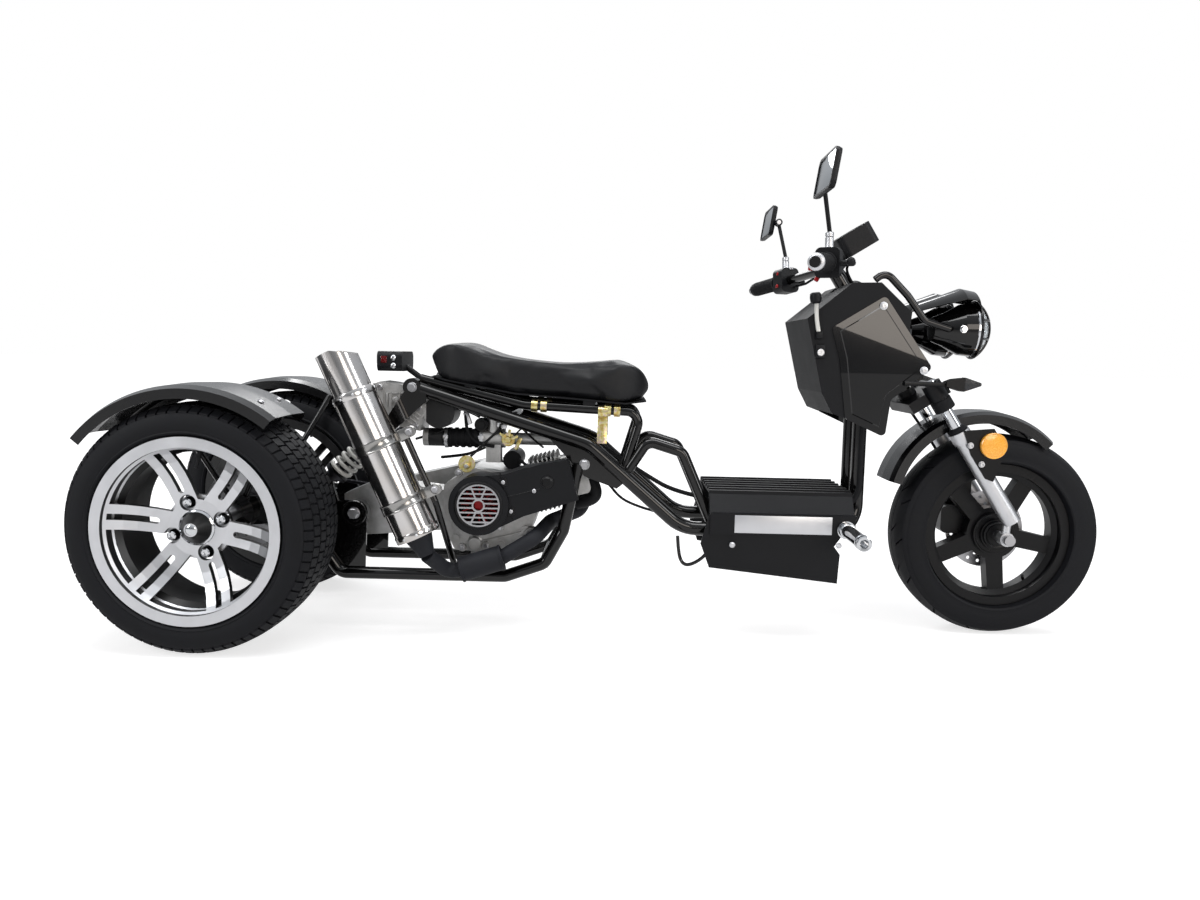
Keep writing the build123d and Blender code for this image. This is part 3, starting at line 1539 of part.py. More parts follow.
def lamp_lens(side):
    """A domed lens."""
    base = lamp_radius - running_gap
    centre, dome_radius = lens_dome()
    half_angle = asin(base / dome_radius)
    angles = [half_angle * step / lens_steps for step in range(lens_steps + 1)]
    outer = [(centre + dome_radius * cos(angle), dome_radius * sin(angle)) for angle in angles[::-1]]
    inner_radius = dome_radius - lens_wall
    inner = [(centre + inner_radius * cos(angle), inner_radius * sin(angle)) for angle in angles[:-1]]
    inner.append((running_gap, base - lens_wall))
    return lamp_turning(outer + inner, side)


def lamp_cage(side):
    """A ring round the lamp's rim with level and upright bars bent over the lens."""
    centre, dome_radius = lens_dome()
    sphere_radius = dome_radius + running_gap + cage_bar / 2
    ring_radius = lamp_radius + running_gap + cage_bar / 2
    cage = Rot(0, 90, 0) * Torus(ring_radius, cage_bar / 2)
    reach = 2 * sphere_radius
    ahead = Box(reach, reach, reach, align=(Align.MIN, Align.CENTER, Align.CENTER))
    for share in cage_bar_shares:
        offset_up = lamp_radius * share
        bar_radius = (sphere_radius ** 2 - offset_up ** 2) ** 0.5
        level = Pos(centre, 0, offset_up) * Torus(bar_radius, cage_bar / 2)
        upright = Pos(centre, offset_up, 0) * Rot(90, 0, 0) * Torus(bar_radius, cage_bar / 2)
        cage += (level & ahead) + (upright & ahead)
    return Pos(lamp_x, side * lamp_half_spacing, lamp_z) * cage


def lamp_hood(side):
    """A curved peak over the lamp, on a post that stands on the bowl."""
    outer = [(-lamp_depth * back, lamp_radius * out) for back, out in hood_shares]
    inner = [(x, radius - hood_thickness) for x, radius in reversed(outer)]
    face = make_face(Polyline(*outer, *inner, close=True))
    shell = Rot(hood_half_angle, 0, 0) * Rot(90, 0, 0) * revolve(
        face, Axis.X, revolution_arc=-2 * hood_half_angle)
    post_x = -lamp_depth * hood_post_share
    post = tube([(post_x, 0, 0), (post_x, 0, lamp_radius * hood_shares[2][1])], hood_post_diameter)
    bowl = [(-lamp_depth * back, lamp_radius * out + running_gap) for back, out in lamp_back_shares]
    bowl = make_face(Polyline(*bowl, (0, 0), (bowl[0][0], 0), close=True))
    post = (post - revolve(bowl, Axis.X)).solids().sort_by(Axis.Z)[-1]
    return Pos(lamp_x, side * lamp_half_spacing, lamp_z) * (shell + post)


# Fork and what it carries
def leg_point(distance, side=0):
    return along_steering(distance, leg_offset, side * leg_half_spacing)


def fork_crown():
    """The lower clamp with its stem in the head tube, and the clamp below the bar."""
    plate = steering_plane(crown_low + crown_thickness / 2, leg_offset / 2) * Box(
        crown_length, 2 * leg_half_spacing, crown_thickness)
    for side in (-1, 1):
        plate += steering_plane(crown_low + crown_collar_length / 2, leg_offset,
                                side * leg_half_spacing) * Cylinder(
            crown_collar_radius, crown_collar_length)
        plate -= steering_plane(crown_low, leg_offset, side * leg_half_spacing) * Cylinder(
            stanchion_diameter / 2 + running_gap, 4 * crown_collar_length)
    stem_top = head_tube_start + head_tube_length + top_clamp_thickness
    stem = steering_plane((crown_low + stem_top) / 2) * Cylinder(
        fork_stem_radius(), stem_top - crown_low)
    nut = steering_plane(head_tube_start + head_tube_length + running_gap + top_clamp_thickness / 2)
    stem += nut * Cylinder(head_tube_diameter / 2, top_clamp_thickness)
    return plate + stem


def fork_stanchions():
    legs = []
    top = crown_low + crown_collar_length + stanchion_stand
    low = slider_top_distance - stanchion_insert
    for side in (-1, 1):
        legs.append(steering_plane((top + low) / 2, leg_offset, side * leg_half_spacing) * Cylinder(
            stanchion_diameter / 2, top - low))
    return legs


def fork_sliders():
    """The lower legs: a collar at the top, the axle's lug behind the foot."""
    sliders = []
    low = slider_low_distance
    for side in (-1, 1):
        y = side * leg_half_spacing
        length = slider_top_distance - low
        leg = steering_plane(low + length / 2, leg_offset, y) * Cylinder(slider_diameter / 2, length)
        leg += steering_plane(slider_top_distance - slider_collar_length / 2, leg_offset, y) * Cylinder(
            slider_collar_diameter / 2, slider_collar_length)
        leg += drum(front_axle_x, front_tyre_radius, y - slider_diameter / 3, y + slider_diameter / 3,
                    axle_lug_radius)
        foot = leg_point(low + axle_lug_radius, side)
        lug = tube([(front_axle_x, y, front_tyre_radius), foot], axle_lug_web)
        leg += lug
        for step in (-1, 1):
            boss = leg_point(bracket_distance + step * bracket_bolt_spacing / 2)
            ends = sorted((y, y + side * slider_collar_diameter / 2))
            leg += drum(boss[0], boss[2], *ends, bracket_boss_radius)
        bore = steering_plane(slider_top_distance - stanchion_insert, leg_offset, y) * Cylinder(
            stanchion_diameter / 2 + running_gap, stanchion_insert * 2)
        hole = drum(front_axle_x, front_tyre_radius, -bar_half_width, bar_half_width,
                    axle_pin_diameter / 2 + running_gap)
        sliders.append(leg - bore - hole)
    return sliders


def axle_pin():
    reach = leg_half_spacing + slider_diameter / 2 + axle_pin_stand
    pin = drum(front_axle_x, front_tyre_radius, -reach, reach, axle_pin_diameter / 2)
    for side in (-1, 1):
        ends = sorted((side * (leg_half_spacing + slider_diameter / 3 + running_gap), side * reach))
        pin += drum(front_axle_x, front_tyre_radius, *ends, axle_nut_radius)
        ends = sorted((side * (front_hub_half_width + running_clearance),
                       side * (leg_half_spacing - slider_diameter / 3 - running_gap)))
        pin += drum(front_axle_x, front_tyre_radius, *ends, axle_nut_radius)
    return pin


def reflector_bracket(side):
    """A flat bracket on the slider's outer side that carries the round reflector."""
    y = side * (leg_half_spacing + slider_collar_diameter / 2)
    base = leg_point(bracket_distance, 0)
    points = spread(bracket_shares, (base[0] - bracket_back, base[2] - bracket_height / 2),
                    (bracket_length, bracket_height))
    ends = sorted((y + side * running_gap, y + side * (running_gap + bracket_thickness)))
    plate = side_panel(points, *ends)
    ends = sorted((y + side * (running_gap + bracket_thickness),
                   y + side * (running_gap + bracket_thickness + reflector_depth)))
    return plate + drum(base[0] + reflector_ahead, base[2] + reflector_rise, *ends, reflector_radius)


def bar_middle():
    x, y, z = along_steering(bar_distance, bar_offset)
    return x, z


def handlebar(crown):
    """A swept-back tube on a riser that stands on the stem."""
    middle = bar_middle()
    points = []
    for side in (-1, 1):
        ends = [(bar_end_x, side * bar_half_width, bar_end_z),
                (middle[0], side * riser_spacing, middle[1])]
        points += ends if side < 0 else list(reversed(ends))
    bar = tube(points, bar_diameter, bend_radius)
    top = along_steering(head_tube_start + head_tube_length + top_clamp_thickness)
    riser = tube([top, along_steering(bar_distance)], riser_diameter)
    return (bar + riser) - crown


def bar_grip(side):
    direction, foot = bar_direction(side)
    low = foot + direction * grip_start
    grip = Plane(origin=low, z_dir=direction) * Cylinder(
        grip_diameter / 2, grip_length, align=(Align.CENTER, Align.CENTER, Align.MIN))
    bore = Plane(origin=low, z_dir=direction) * Cylinder(
        bar_diameter / 2 + running_gap, grip_length, align=(Align.CENTER, Align.CENTER, Align.MIN))
    return grip - bore


def bar_direction(side):
    """The direction of a bar's straight arm, and where it starts beside the riser."""
    middle = bar_middle()
    foot = Vector(middle[0], side * riser_spacing, middle[1])
    end = Vector(bar_end_x, side * bar_half_width, bar_end_z)
    return (end - foot).normalized(), foot


def bar_control(side):
    """A clamp-on housing with its lever."""
    direction, foot = bar_direction(side)
    start = foot + direction * control_start
    stand = Plane(origin=start, x_dir=(0, 0, 1), z_dir=direction)
    plan = RectangleRounded(control_height, control_depth, control_corner)
    housing = stand * extrude(plan, amount=control_length)
    housing -= stand * Cylinder(bar_diameter / 2 + running_gap, 3 * control_length)
    ball = start + direction * lever_length + Vector(lever_ahead, 0, lever_rise)
    root = start + direction * control_length / 2 + Vector(control_depth / 2 - weld_overrun, 0, 0)
    lever = tube([root, root + Vector(lever_ahead / 2, 0, 0), ball], lever_diameter, lever_diameter)
    lever += Pos(ball) * Sphere(lever_ball_radius)
    return housing + lever


def bar_mirror(side):
    """A stalk and an oblong head that faces the rider."""
    direction, foot = bar_direction(side)
    stand = Plane(origin=foot, x_dir=(0, 0, 1), z_dir=direction)
    base = foot + direction * (control_start + control_length / 2)
    base += stand.x_dir * (control_height / 2 + running_gap)
    elbow = base + Vector(-mirror_lean, side * mirror_side_step, mirror_rise)
    head_centre = elbow + Vector(-mirror_thickness, side * mirror_reach, mirror_lift)
    knee = base + stand.x_dir * mirror_socket_length
    mirror_piece = tube([base, knee, elbow], stalk_diameter, stalk_diameter)
    mirror_piece += Plane(origin=(base + knee) / 2, z_dir=stand.x_dir) * Cylinder(
        mirror_socket_diameter / 2, mirror_socket_length)
    mirror_piece += Plane(origin=elbow, z_dir=(0, 1, 0)) * Cylinder(stalk_diameter, mirror_joint_width)
    mirror_piece += tube([elbow, head_centre], stalk_diameter)
    outline = RectangleRounded(mirror_length, mirror_height, mirror_corner)
    glass = RectangleRounded(mirror_length - 2 * mirror_frame, mirror_height - 2 * mirror_frame,
                             mirror_corner - mirror_frame)
    head = extrude(outline, amount=mirror_thickness / 2)
    head += extrude(outline, amount=-mirror_thickness / 2, taper=mirror_back_taper)
    head -= Pos(0, 0, mirror_thickness / 2 - mirror_glass_depth) * extrude(
        glass, amount=mirror_thickness)
    return mirror_piece + Plane(origin=head_centre, x_dir=(0, 1, 0), z_dir=(-1, 0, mirror_tilt)) * head


def control_cable(side):
    """From a control's inner face to the riser and down it to the top of the stem."""
    direction, foot = bar_direction(side)
    start = foot + direction * control_start + Vector(cable_lead, 0, -cable_lead)
    ahead = riser_diameter / 2 + running_gap + cable_diameter / 2
    near = side * cable_spacing / 2
    top = head_tube_start + head_tube_length + top_clamp_thickness + 2 * running_gap
    points = [start, start - direction * cable_run,
              Vector(*along_steering(bar_distance, ahead + cable_diameter, side * cable_side)),
              Vector(*along_steering(bar_distance - cable_drop, ahead, near)),
              Vector(*along_steering(top, ahead, near))]
    return tube(points, cable_diameter, cable_bend)


def loom_hose():
    """The hose that holds the wires beside the right down tube."""
    y = -(down_tube_half_width + (tube_diameter + loom_diameter) / 2 + running_gap)
    points = [(down_tube_x + loom_top_lead, y, loom_top_z),
              (down_tube_x, y, loom_top_z - loom_slant),
              (down_tube_x, y, loom_low_z),
              (down_tube_x - loom_tail, y, loom_low_z - loom_drop)]
    return tube(points, loom_diameter, loom_bend)


def instrument():
    """The meter box ahead of the bar, tilted towards the rider."""
    tilt = radians(meter_tilt)
    stand = Plane(origin=(meter_x, 0, meter_z), x_dir=(cos(tilt), 0, sin(tilt)),
                  z_dir=(-sin(tilt), 0, cos(tilt)))
    middle = bar_middle()
    bar_centre = Vector(middle[0], 0, middle[1])
    meter_centre = Vector(meter_x, 0, meter_z)
    toward = (meter_centre - bar_centre).normalized()
    stem = tube([bar_centre + toward * (bar_diameter / 2 + running_gap), meter_centre],
                meter_stem_diameter)
    case = extrude(RectangleRounded(meter_length, meter_width, meter_corner), amount=meter_depth / 2,
                   both=True)
    dial = extrude(RectangleRounded(meter_length - 2 * meter_rim, meter_width - 2 * meter_rim,
                                    meter_corner - meter_rim / 2), amount=meter_depth)
    case -= Pos(0, 0, meter_depth / 2 - meter_dial_depth) * dial
    return stand * case + stem


def front_signal(side):
    """A stalk from the fairing with an arrow-shaped lamp."""
    y = side * (fairing_half_width - fairing_raise + running_gap + signal_stalk_diameter / 2)
    points = spread(signal_shares, (signal_x, signal_z - signal_height / 2),
                    (signal_length, signal_height))
    body = side_panel(points, y - signal_width / 2, y + signal_width / 2)
    stalk = tube([(signal_x - signal_stalk, y, signal_z), (signal_x + weld_overrun, y, signal_z)],
                 signal_stalk_diameter)
    return body + stalk


def brake_caliper():
    """A block that straddles the disc's rear edge, on an arm from the left slider."""
    y = front_disc_y()
    inner_face = leg_half_spacing - slider_diameter / 2 - running_gap
    x = front_axle_x - front_disc_radius + caliper_overlap
    z = front_tyre_radius + caliper_rise
    high = inner_face - caliper_arm_thickness
    low = y - (high - y)
    block = Plane(origin=(x, high, z), x_dir=(1, 0, 0), z_dir=(0, -1, 0)) * extrude(
        RectangleRounded(caliper_length, caliper_height, caliper_corner), amount=high - low)
    block -= drum(front_axle_x, front_tyre_radius, y - disc_thickness, y + disc_thickness,
                  front_disc_radius + weld_overrun)
    knee = leg_point(slider_low_distance + caliper_arm_start)
    outline = [(x - caliper_length / 2, z - caliper_height / 3), (x, z - caliper_height / 2),
               (knee[0], knee[2] - caliper_height / 2), (knee[0], knee[2] + caliper_height / 4),
               (x - caliper_length / 3, z + caliper_height / 2)]
    return block + side_panel(outline, high, inner_face)


def tail_lamp(frame):
    """The rear light on its arm behind the seat."""
    stand = Plane(origin=(tail_x + tail_length / 2, 0, tail_z), x_dir=(0, 1, 0), z_dir=(-1, 0, 0))
    body = extrude(RectangleRounded(tail_width, tail_height, tail_corner), amount=tail_length)
    lens = extrude(RectangleRounded(tail_width - 2 * tail_rim, tail_height - 2 * tail_rim,
                                    tail_corner - tail_rim), amount=tail_length)
    body -= Pos(0, 0, tail_length - tail_lens_depth) * lens
    cross_x = spine_rear_x + tube_diameter
    arm = tube([(tail_x + tail_length / 2 - weld_overrun, 0, tail_z - tail_height / 4),
                (cross_x, 0, spine_height(cross_x))], tail_arm_diameter)
    return (stand * body + arm) - frame


def drive_chain():
    """A closed loop of links between the two chain wheels, as one flat band."""
    outer = make_hull((Pos(rear_axle_x, rear_tyre_radius) * Circle(sprocket_radius + chain_height)).edges()
                      + (Pos(pivot_x, pivot_z) * Circle(drive_sprocket_radius + chain_height)).edges())
    inner = make_hull((Pos(rear_axle_x, rear_tyre_radius) * Circle(sprocket_radius + running_gap)).edges()
                      + (Pos(pivot_x, pivot_z) * Circle(drive_sprocket_radius + running_gap)).edges())
    stand = Plane(origin=(0, sprocket_y + chain_width / 2, 0), x_dir=(1, 0, 0), z_dir=(0, -1, 0))
    return stand * extrude(outer - inner, amount=chain_width)


def drive_sprocket():
    return toothed_wheel(drive_teeth, drive_sprocket_radius, sprocket_tooth_height, drive_bore_radius,
                         sprocket_thickness, pivot_x, pivot_z, sprocket_y)


def front_tyre():
    half = front_tyre_width / 2
    bead_half = front_rim_width / 2 - front_flange_thickness - running_gap
    return tyre(0, half, bead_half, front_tyre_radius, front_bead_radius, front_flange_radius,
                front_axle_x, front_groove_shares)


def rear_tyre():
    half = rear_tyre_width / 2
    bead_half = rear_rim_width / 2 - rear_flange_thickness - running_gap
    return tyre(-rear_track / 2, half, bead_half, rear_tyre_radius, rear_bead_radius,
                rear_flange_radius, rear_axle_x, rear_groove_shares)


def front_disc_y():
    """The disc lies against the hub's middle step."""
    return front_hub_half_width * front_disc_seat_share + running_gap + disc_thickness / 2


def front_disc():
    return brake_disc(front_axle_x, front_tyre_radius, front_disc_y(), front_disc_radius, disc_bore_radius,
                      disc_thickness)


os.makedirs("parts", exist_ok=True)
frame = main_frame()
write("main_frame", [frame])
cradle = engine_cradle(frame)
write("engine_cradle", [cradle])
rail = seat_rail(frame)
write("seat_rail", [rail])
write("step_hoops", step_hoops(frame, rail))
write("seat_pan", [seat_pan(rail)])
write("seat_clamps", seat_clamps())
write("seat", [seat()])
write("crankcase", [crankcase()])
head = cylinder()
write("cylinder", [head])
write("fan_cover", [fan_cover()])
write("cooling_fan", [cooling_fan()])
write("fan_grille", [fan_grille()])
write("belt_case", [belt_case()])
write("gear_case", [gear_case()])
write("air_filter", [air_filter()])
write("intake_hose", [intake_hose()])
write("carburettor", [carburettor(head)])
write("starter_motor", [starter_motor()])
write("exhaust_pipe", [exhaust_pipe(head)])
write("muffler", [muffler()])
write("muffler_stay", [muffler_stay(cradle)])
write("swing_arm", [swing_arm()])
write("shock_bodies", shock_bodies())
write("shock_springs", shock_springs())
write("drive_chain", [drive_chain()])
write("drive_sprocket", [drive_sprocket()])
write("rear_fenders", pair(rear_fender()))
write("floorboard", [floorboard()])
write("side_skirts", pair(side_skirt()))
write("foot_pegs", pair(foot_peg()))
write("fairing_panels", pair(fairing_panel()))
write("leg_shield", [leg_shield()])
write("lamp_brackets", pair(lamp_bracket()))
write("loom_hose", [loom_hose()])
write("headlamps", [headlamp(side) for side in (-1, 1)])
write("lamp_lenses", [lamp_lens(side) for side in (-1, 1)])
write("lamp_guards", [guard(side) for guard in (lamp_cage, lamp_hood) for side in (-1, 1)])
write("front_signals", [front_signal(side) for side in (-1, 1)])
write("tail_lamp", [tail_lamp(frame)])
crown = fork_crown()
write("fork_crown", [crown])
write("fork_stanchions", fork_stanchions())
write("fork_sliders", fork_sliders())
write("axle_pin", [axle_pin()])
write("reflector_brackets", [reflector_bracket(side) for side in (-1, 1)])
write("front_fender", [front_fender()])
write("handlebar", [handlebar(crown)])
write("bar_grips", [bar_grip(side) for side in (-1, 1)])
write("bar_controls", [bar_control(side) for side in (-1, 1)])
write("mirrors", [bar_mirror(side) for side in (-1, 1)])
write("instrument", [instrument()])
write("control_cables", [control_cable(side) for side in (-1, 1)])
write("brake_caliper", [brake_caliper()])
write("front_rim", [front_rim()])
write("front_tyre", [front_tyre()])
write("front_disc", [front_disc()])
write("rear_axle", [rear_axle()])
write("rear_rims", pair(rear_rim()))
write("rear_tyres", pair(rear_tyre()))
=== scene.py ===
"""A three-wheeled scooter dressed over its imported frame.

It adds tread, padding, the chain's links, lamps, fasteners, hoses and finishes. The frame is
+X forward, +Y to the vehicle's left, +Z up, in metres; places and sizes of pieces are given in
millimetres and made metres as a piece is built.
"""

from math import acos, atan2, cos, pi, radians, sin

import bmesh
import bpy
from mathutils import Matrix, Quaternion, Vector


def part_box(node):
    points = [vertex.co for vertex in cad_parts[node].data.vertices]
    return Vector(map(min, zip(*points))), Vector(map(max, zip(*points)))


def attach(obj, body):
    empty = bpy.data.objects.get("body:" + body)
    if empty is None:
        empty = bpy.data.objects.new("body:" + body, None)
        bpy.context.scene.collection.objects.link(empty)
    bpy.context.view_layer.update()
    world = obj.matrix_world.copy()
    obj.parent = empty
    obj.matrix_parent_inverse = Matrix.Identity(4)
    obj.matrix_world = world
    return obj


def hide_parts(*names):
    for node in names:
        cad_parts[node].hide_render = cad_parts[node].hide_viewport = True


bl_info = {
    "name": "Trike Scooter",
    "version": (1, 0, 0),
    "blender": (4, 5, 0),
    "location": "3D View > Sidebar > Trike",
    "description": "Dresses a three-wheeled scooter over its frame",
    "category": "Add Mesh",
}

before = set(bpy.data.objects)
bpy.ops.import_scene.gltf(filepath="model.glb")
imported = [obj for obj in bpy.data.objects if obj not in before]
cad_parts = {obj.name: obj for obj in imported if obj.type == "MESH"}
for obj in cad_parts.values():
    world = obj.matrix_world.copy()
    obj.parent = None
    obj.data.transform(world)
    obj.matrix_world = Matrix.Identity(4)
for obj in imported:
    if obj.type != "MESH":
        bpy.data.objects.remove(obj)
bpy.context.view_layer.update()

MM = 0.001
NOISE, CELLS, RANGE = "ShaderNodeTexNoise", "ShaderNodeTexVoronoi", "ShaderNodeMapRange"
MIX, BUMP, MATH = "ShaderNodeMix", "ShaderNodeBump", "ShaderNodeMath"

# The photograph's camera, in metres and radians
IMAGE_SIZE = (1200, 900)
FOCAL_PIXELS = 923.53
SENSOR_WIDTH = 36.0
CAMERA_PLACE = (-0.0043, -2.1891, 0.6394)
CAMERA_YAW = -0.016
CAMERA_PITCH = -0.104
CAMERA_ROLL = 0.021

# Directions
AHEAD = (1, 0, 0)
LEFT = (0, 1, 0)
RIGHT = (0, -1, 0)

# Places on the frame, in millimetres
REAR_X, REAR_Z = -869.5, 262
RIM_FACE, HUB_FACE = 299, 309.6
FRONT_X, FRONT_Z = 895.5, 236
CRANK_X, CRANK_Z = -304, 298
CRANKCASE_FACE, SHROUD_FACE = -88, -164.4
PIVOT_X, PIVOT_Z = -596, 266
CHAIN_PITCH = 12.7
CHAIN_REAR, CHAIN_FRONT = 82, 40
MUFFLER_LOW = (-428, -212, 236)
MUFFLER_HIGH = (-569, -212, 546)
CARBURETTOR_X, CARBURETTOR_Z = -250, 438
FILTER_DRUM_X = -437
FENDER_RADIUS = 300.6
SKIRT_FACE = 158.8
FAIRING_FACE = 140
SHIELD_FACE = -141
PEG_X, PEG_Z = 512, 262
LAMP_X, LAMP_Y, LAMP_Z = 793, 82, 709
TAIL_Z = 612
FORK_RAKE = radians(33)
FORK_FOOT_X, FORK_FOOT_Z = 690, 545
FORK_LEG_Y, FORK_LEG_AHEAD = 85, 36
REFLECTOR_X, REFLECTOR_Z = 843.3, 452.4
BAR_FOOT = (499.6, 60, 853)
BAR_TIP = (367, 404, 821)
METER_PLACE = (536, 0, 908)
METER_TILT = radians(32)

# A washer's thickness, in millimetres
WASHER = 1.3

# A rim's turned face lies beyond this distance from the middle plane, in metres, and the share by
# which it faces outwards, times that distance, is more than the other number
RIM_OUTER_Y = 0.28
RIM_FACING = 0.216

# The seat's cover
SEAT_SMOOTHING = 14
CLOTH_FRAMES = 20


def linear(hex_code):
    """The linear colour of an sRGB hex value."""
    shares = [int(hex_code[start:start + 2], 16) / 255 for start in (1, 3, 5)]
    return tuple(c / 12.92 if c <= 0.04045 else ((c + 0.055) / 1.055) ** 2.4 for c in shares)


def colour_property(name, description, hex_code):
    """A colour that a user may change."""
    return bpy.props.FloatVectorProperty(name=name, description=description, subtype="COLOR",
                                         size=3, min=0, max=1, default=linear(hex_code))


def size_property(name, description, default):
    """A length in metres that a user may change."""
    return bpy.props.FloatProperty(name=name, description=description, default=default,
                                   min=0, subtype="DISTANCE", unit="LENGTH")


class TrikeSizes(bpy.types.PropertyGroup):
    """Sizes a user may change."""
    rear_tyre_width: size_property("Rear tyre width", "Across the rear tyre's walls", 0.211)
    rear_tyre_depth: size_property("Rear tread depth", "How deep the rear tread is cut", 0.006)
    front_tyre_depth: size_property("Front tread depth", "How deep the front tread is cut", 0.005)
    seat_voxel: size_property("Seat mesh", "The spacing of the seat's mesh", 0.0055)
    seat_swell: size_property("Seat swell", "The most the padding may rise", 0.006)
    rear_pitches: bpy.props.IntProperty(name="Rear blocks", default=72, min=12,
                                        description="Tread blocks round the rear tyre")
    front_pitches: bpy.props.IntProperty(name="Front blocks", default=15, min=12,
                                         description="Tread blocks round the front tyre")


class TrikeColours(bpy.types.PropertyGroup):
    """Colours a user may change."""
    paint: colour_property("Paint", "Steel tubes, lamp shells and guards", "#070708")
    plastic: colour_property("Moulded plastic", "Covers, floor, skirts and hoses", "#0a0b0e")
    vinyl: colour_property("Seat vinyl", "The seat's cover", "#0c0d10")
    tyre: colour_property("Tyre rubber", "All three tyres", "#0b0c0e")
    fan: colour_property("Fan", "The cooling fan, switches and needle", "#a3141a")
    amber: colour_property("Reflector", "The round reflectors on the fork", "#f59a12")


def sizes():
    """The lengths in metres that the panel shows."""
    return bpy.context.scene.trike_sizes


def colours():
    """The colours that the panel shows."""
    return bpy.context.scene.trike_colours


# ---- materials


def add_node(tree, kind, inputs=None, into=None, **settings):
    """Adds a node with its settings; an input takes a value or another node's output.

    The new node's own output goes on into a socket, where one is given.
    """
    made = tree.nodes.new(kind)
    for name, value in settings.items():
        setattr(made, name, value)
    for name, value in (inputs or {}).items():
        if isinstance(value, bpy.types.NodeSocket):
            tree.links.new(value, made.inputs[name])
        else:
            made.inputs[name].default_value = value
    if into is not None:
        tree.links.new(next(output for output in made.outputs if output.enabled), into)
    return made


def start_material(name, colour, roughness, metallic=0.0, **sockets):
    """A Principled material with its output, and the coordinates for its patterns."""
    material = bpy.data.materials.new(name)
    material.use_nodes = True
    tree = material.node_tree
    tree.nodes.clear()
    values = {"Base Color": (*colour, 1.0), "Roughness": roughness, "Metallic": metallic}
    values.update({key.replace("_", " "): value for key, value in sockets.items()})
    shader = add_node(tree, "ShaderNodeBsdfPrincipled", values)
    add_node(tree, "ShaderNodeOutputMaterial", {"Surface": shader.outputs["BSDF"]})
    material.diffuse_color = (*colour, 1.0)
    material.metallic = metallic
    material.roughness = roughness
    place = add_node(tree, "ShaderNodeTexCoord").outputs
    return material, tree, shader.inputs, place


def clouded(name, colour, roughness, cloud, gloss, tints, grain=None, relief=None, metallic=0.0,
            **sockets):
    """A finish whose gloss and colour wander in soft clouds, with a fine grain raised on it.

    Cloud and grain are noise: millimetres across, detail and how rough it is. Gloss is the
    roughness at either end of the cloud, tints are the colours there, and relief is the
    grain's depth in metres with its strength.
    """
    material, tree, surface, place = start_material(name, colour, roughness, metallic, **sockets)
    patterns = [
        add_node(tree, NOISE, {"Vector": place["Object"], "Scale": 1000 / across,
                               "Detail": detail, "Roughness": rough}).outputs["Fac"]
        for across, detail, rough in ([cloud, grain] if grain else [cloud])]
    add_node(tree, RANGE, {"Value": patterns[0], "To Min": gloss[0], "To Max": gloss[1]},
             surface["Roughness"])
    add_node(tree, MIX, {"Factor": patterns[0], "A": (*tints[0], 1), "B": (*tints[1], 1)},
             surface["Base Color"], data_type="RGBA")
    if grain:
        add_node(tree, BUMP, {"Height": patterns[1], "Distance": relief[0],
                              "Strength": relief[1]}, surface["Normal"])
    return material


def shaded(colour, share):
    """A darker or lighter colour of the same hue."""
    return tuple(channel * share for channel in colour)


def gloss_paint():
    """Stove enamel on steel: deep black, a clear wet gloss, a faint orange peel."""
    paint = colours().paint
    return clouded("black stove enamel", paint, 0.12, (90, 3, 0.5), (0.1, 0.22),
                   (paint, linear("#0a0909")), (4, 2, 0.5), (0.00006, 0.5),
                   Specular_IOR_Level=0.08, Coat_Weight=0.7, Coat_Roughness=0.02)


def panel_gloss(name="polished black ABS", haze=0.015):
    """Polished ABS panels: a dark mirror that carries the studio's soft boxes."""
    base = linear("#060607")
    return clouded(name, base, 0.1, (60, 2, 0.5), (0.08, 0.14), (base, linear("#08080a")),
                   (60, 2, 0.5), (0.0003, 0.35), Specular_IOR_Level=0.1, Coat_Weight=1.0,
                   Coat_Roughness=haze)


def moulded_plastic(name="moulded black polypropylene", low=0.38, high=0.55):
    """Injection-moulded polypropylene with a spark-eroded grain: satin, slightly blue."""
    base = colours().plastic
    return clouded(name, base, 0.45, (60, 3, 0.5), (low, high), (base, shaded(base, 1.5)),
                   (1.6, 3, 0.5), (0.00012, 0.5), Specular_IOR_Level=0.22)


def seat_vinyl():
    """Calendered vinyl over foam: a leather grain two millimetres across, soft sheen."""
    base = colours().vinyl
    material, tree, surface, place = start_material(
        "grained seat vinyl", base, 0.46, Specular_IOR_Level=0.3)
    spot = place["Object"]
    cells = add_node(tree, CELLS, {"Vector": spot, "Scale": 1000 / 2.2}).outputs["Distance"]
    fine = add_node(tree, NOISE, {"Vector": spot, "Scale": 1000 / 1.2, "Detail": 3})
    cloud = add_node(tree, NOISE, {"Vector": spot, "Scale": 1000 / 70})
    height = add_node(tree, MATH, {0: cells, 1: fine.outputs["Fac"]}, operation="MULTIPLY")
    add_node(tree, RANGE, {"Value": cloud.outputs["Fac"], "To Min": 0.4, "To Max": 0.56},
             surface["Roughness"])
    add_node(tree, MIX, {"Factor": cells, "A": (*shaded(base, 0.8), 1),
                         "B": (*shaded(base, 1.3), 1)}, surface["Base Color"], data_type="RGBA")
    add_node(tree, BUMP, {"Height": height.outputs[0], "Distance": 0.0003, "Strength": 0.6},
             surface["Normal"])
    return material


def tyre_rubber():
    """Vulcanised carbon-black rubber: matt, greyer where it is scuffed, with fine mould lines."""
    base = colours().tyre
    return clouded("vulcanised tyre rubber", base, 0.62, (45, 4, 0.6), (0.5, 0.75),
                   (shaded(base, 0.75), linear("#14151a")), (2.2, 4, 0.5), (0.00025, 0.5),
                   Specular_IOR_Level=0.2)


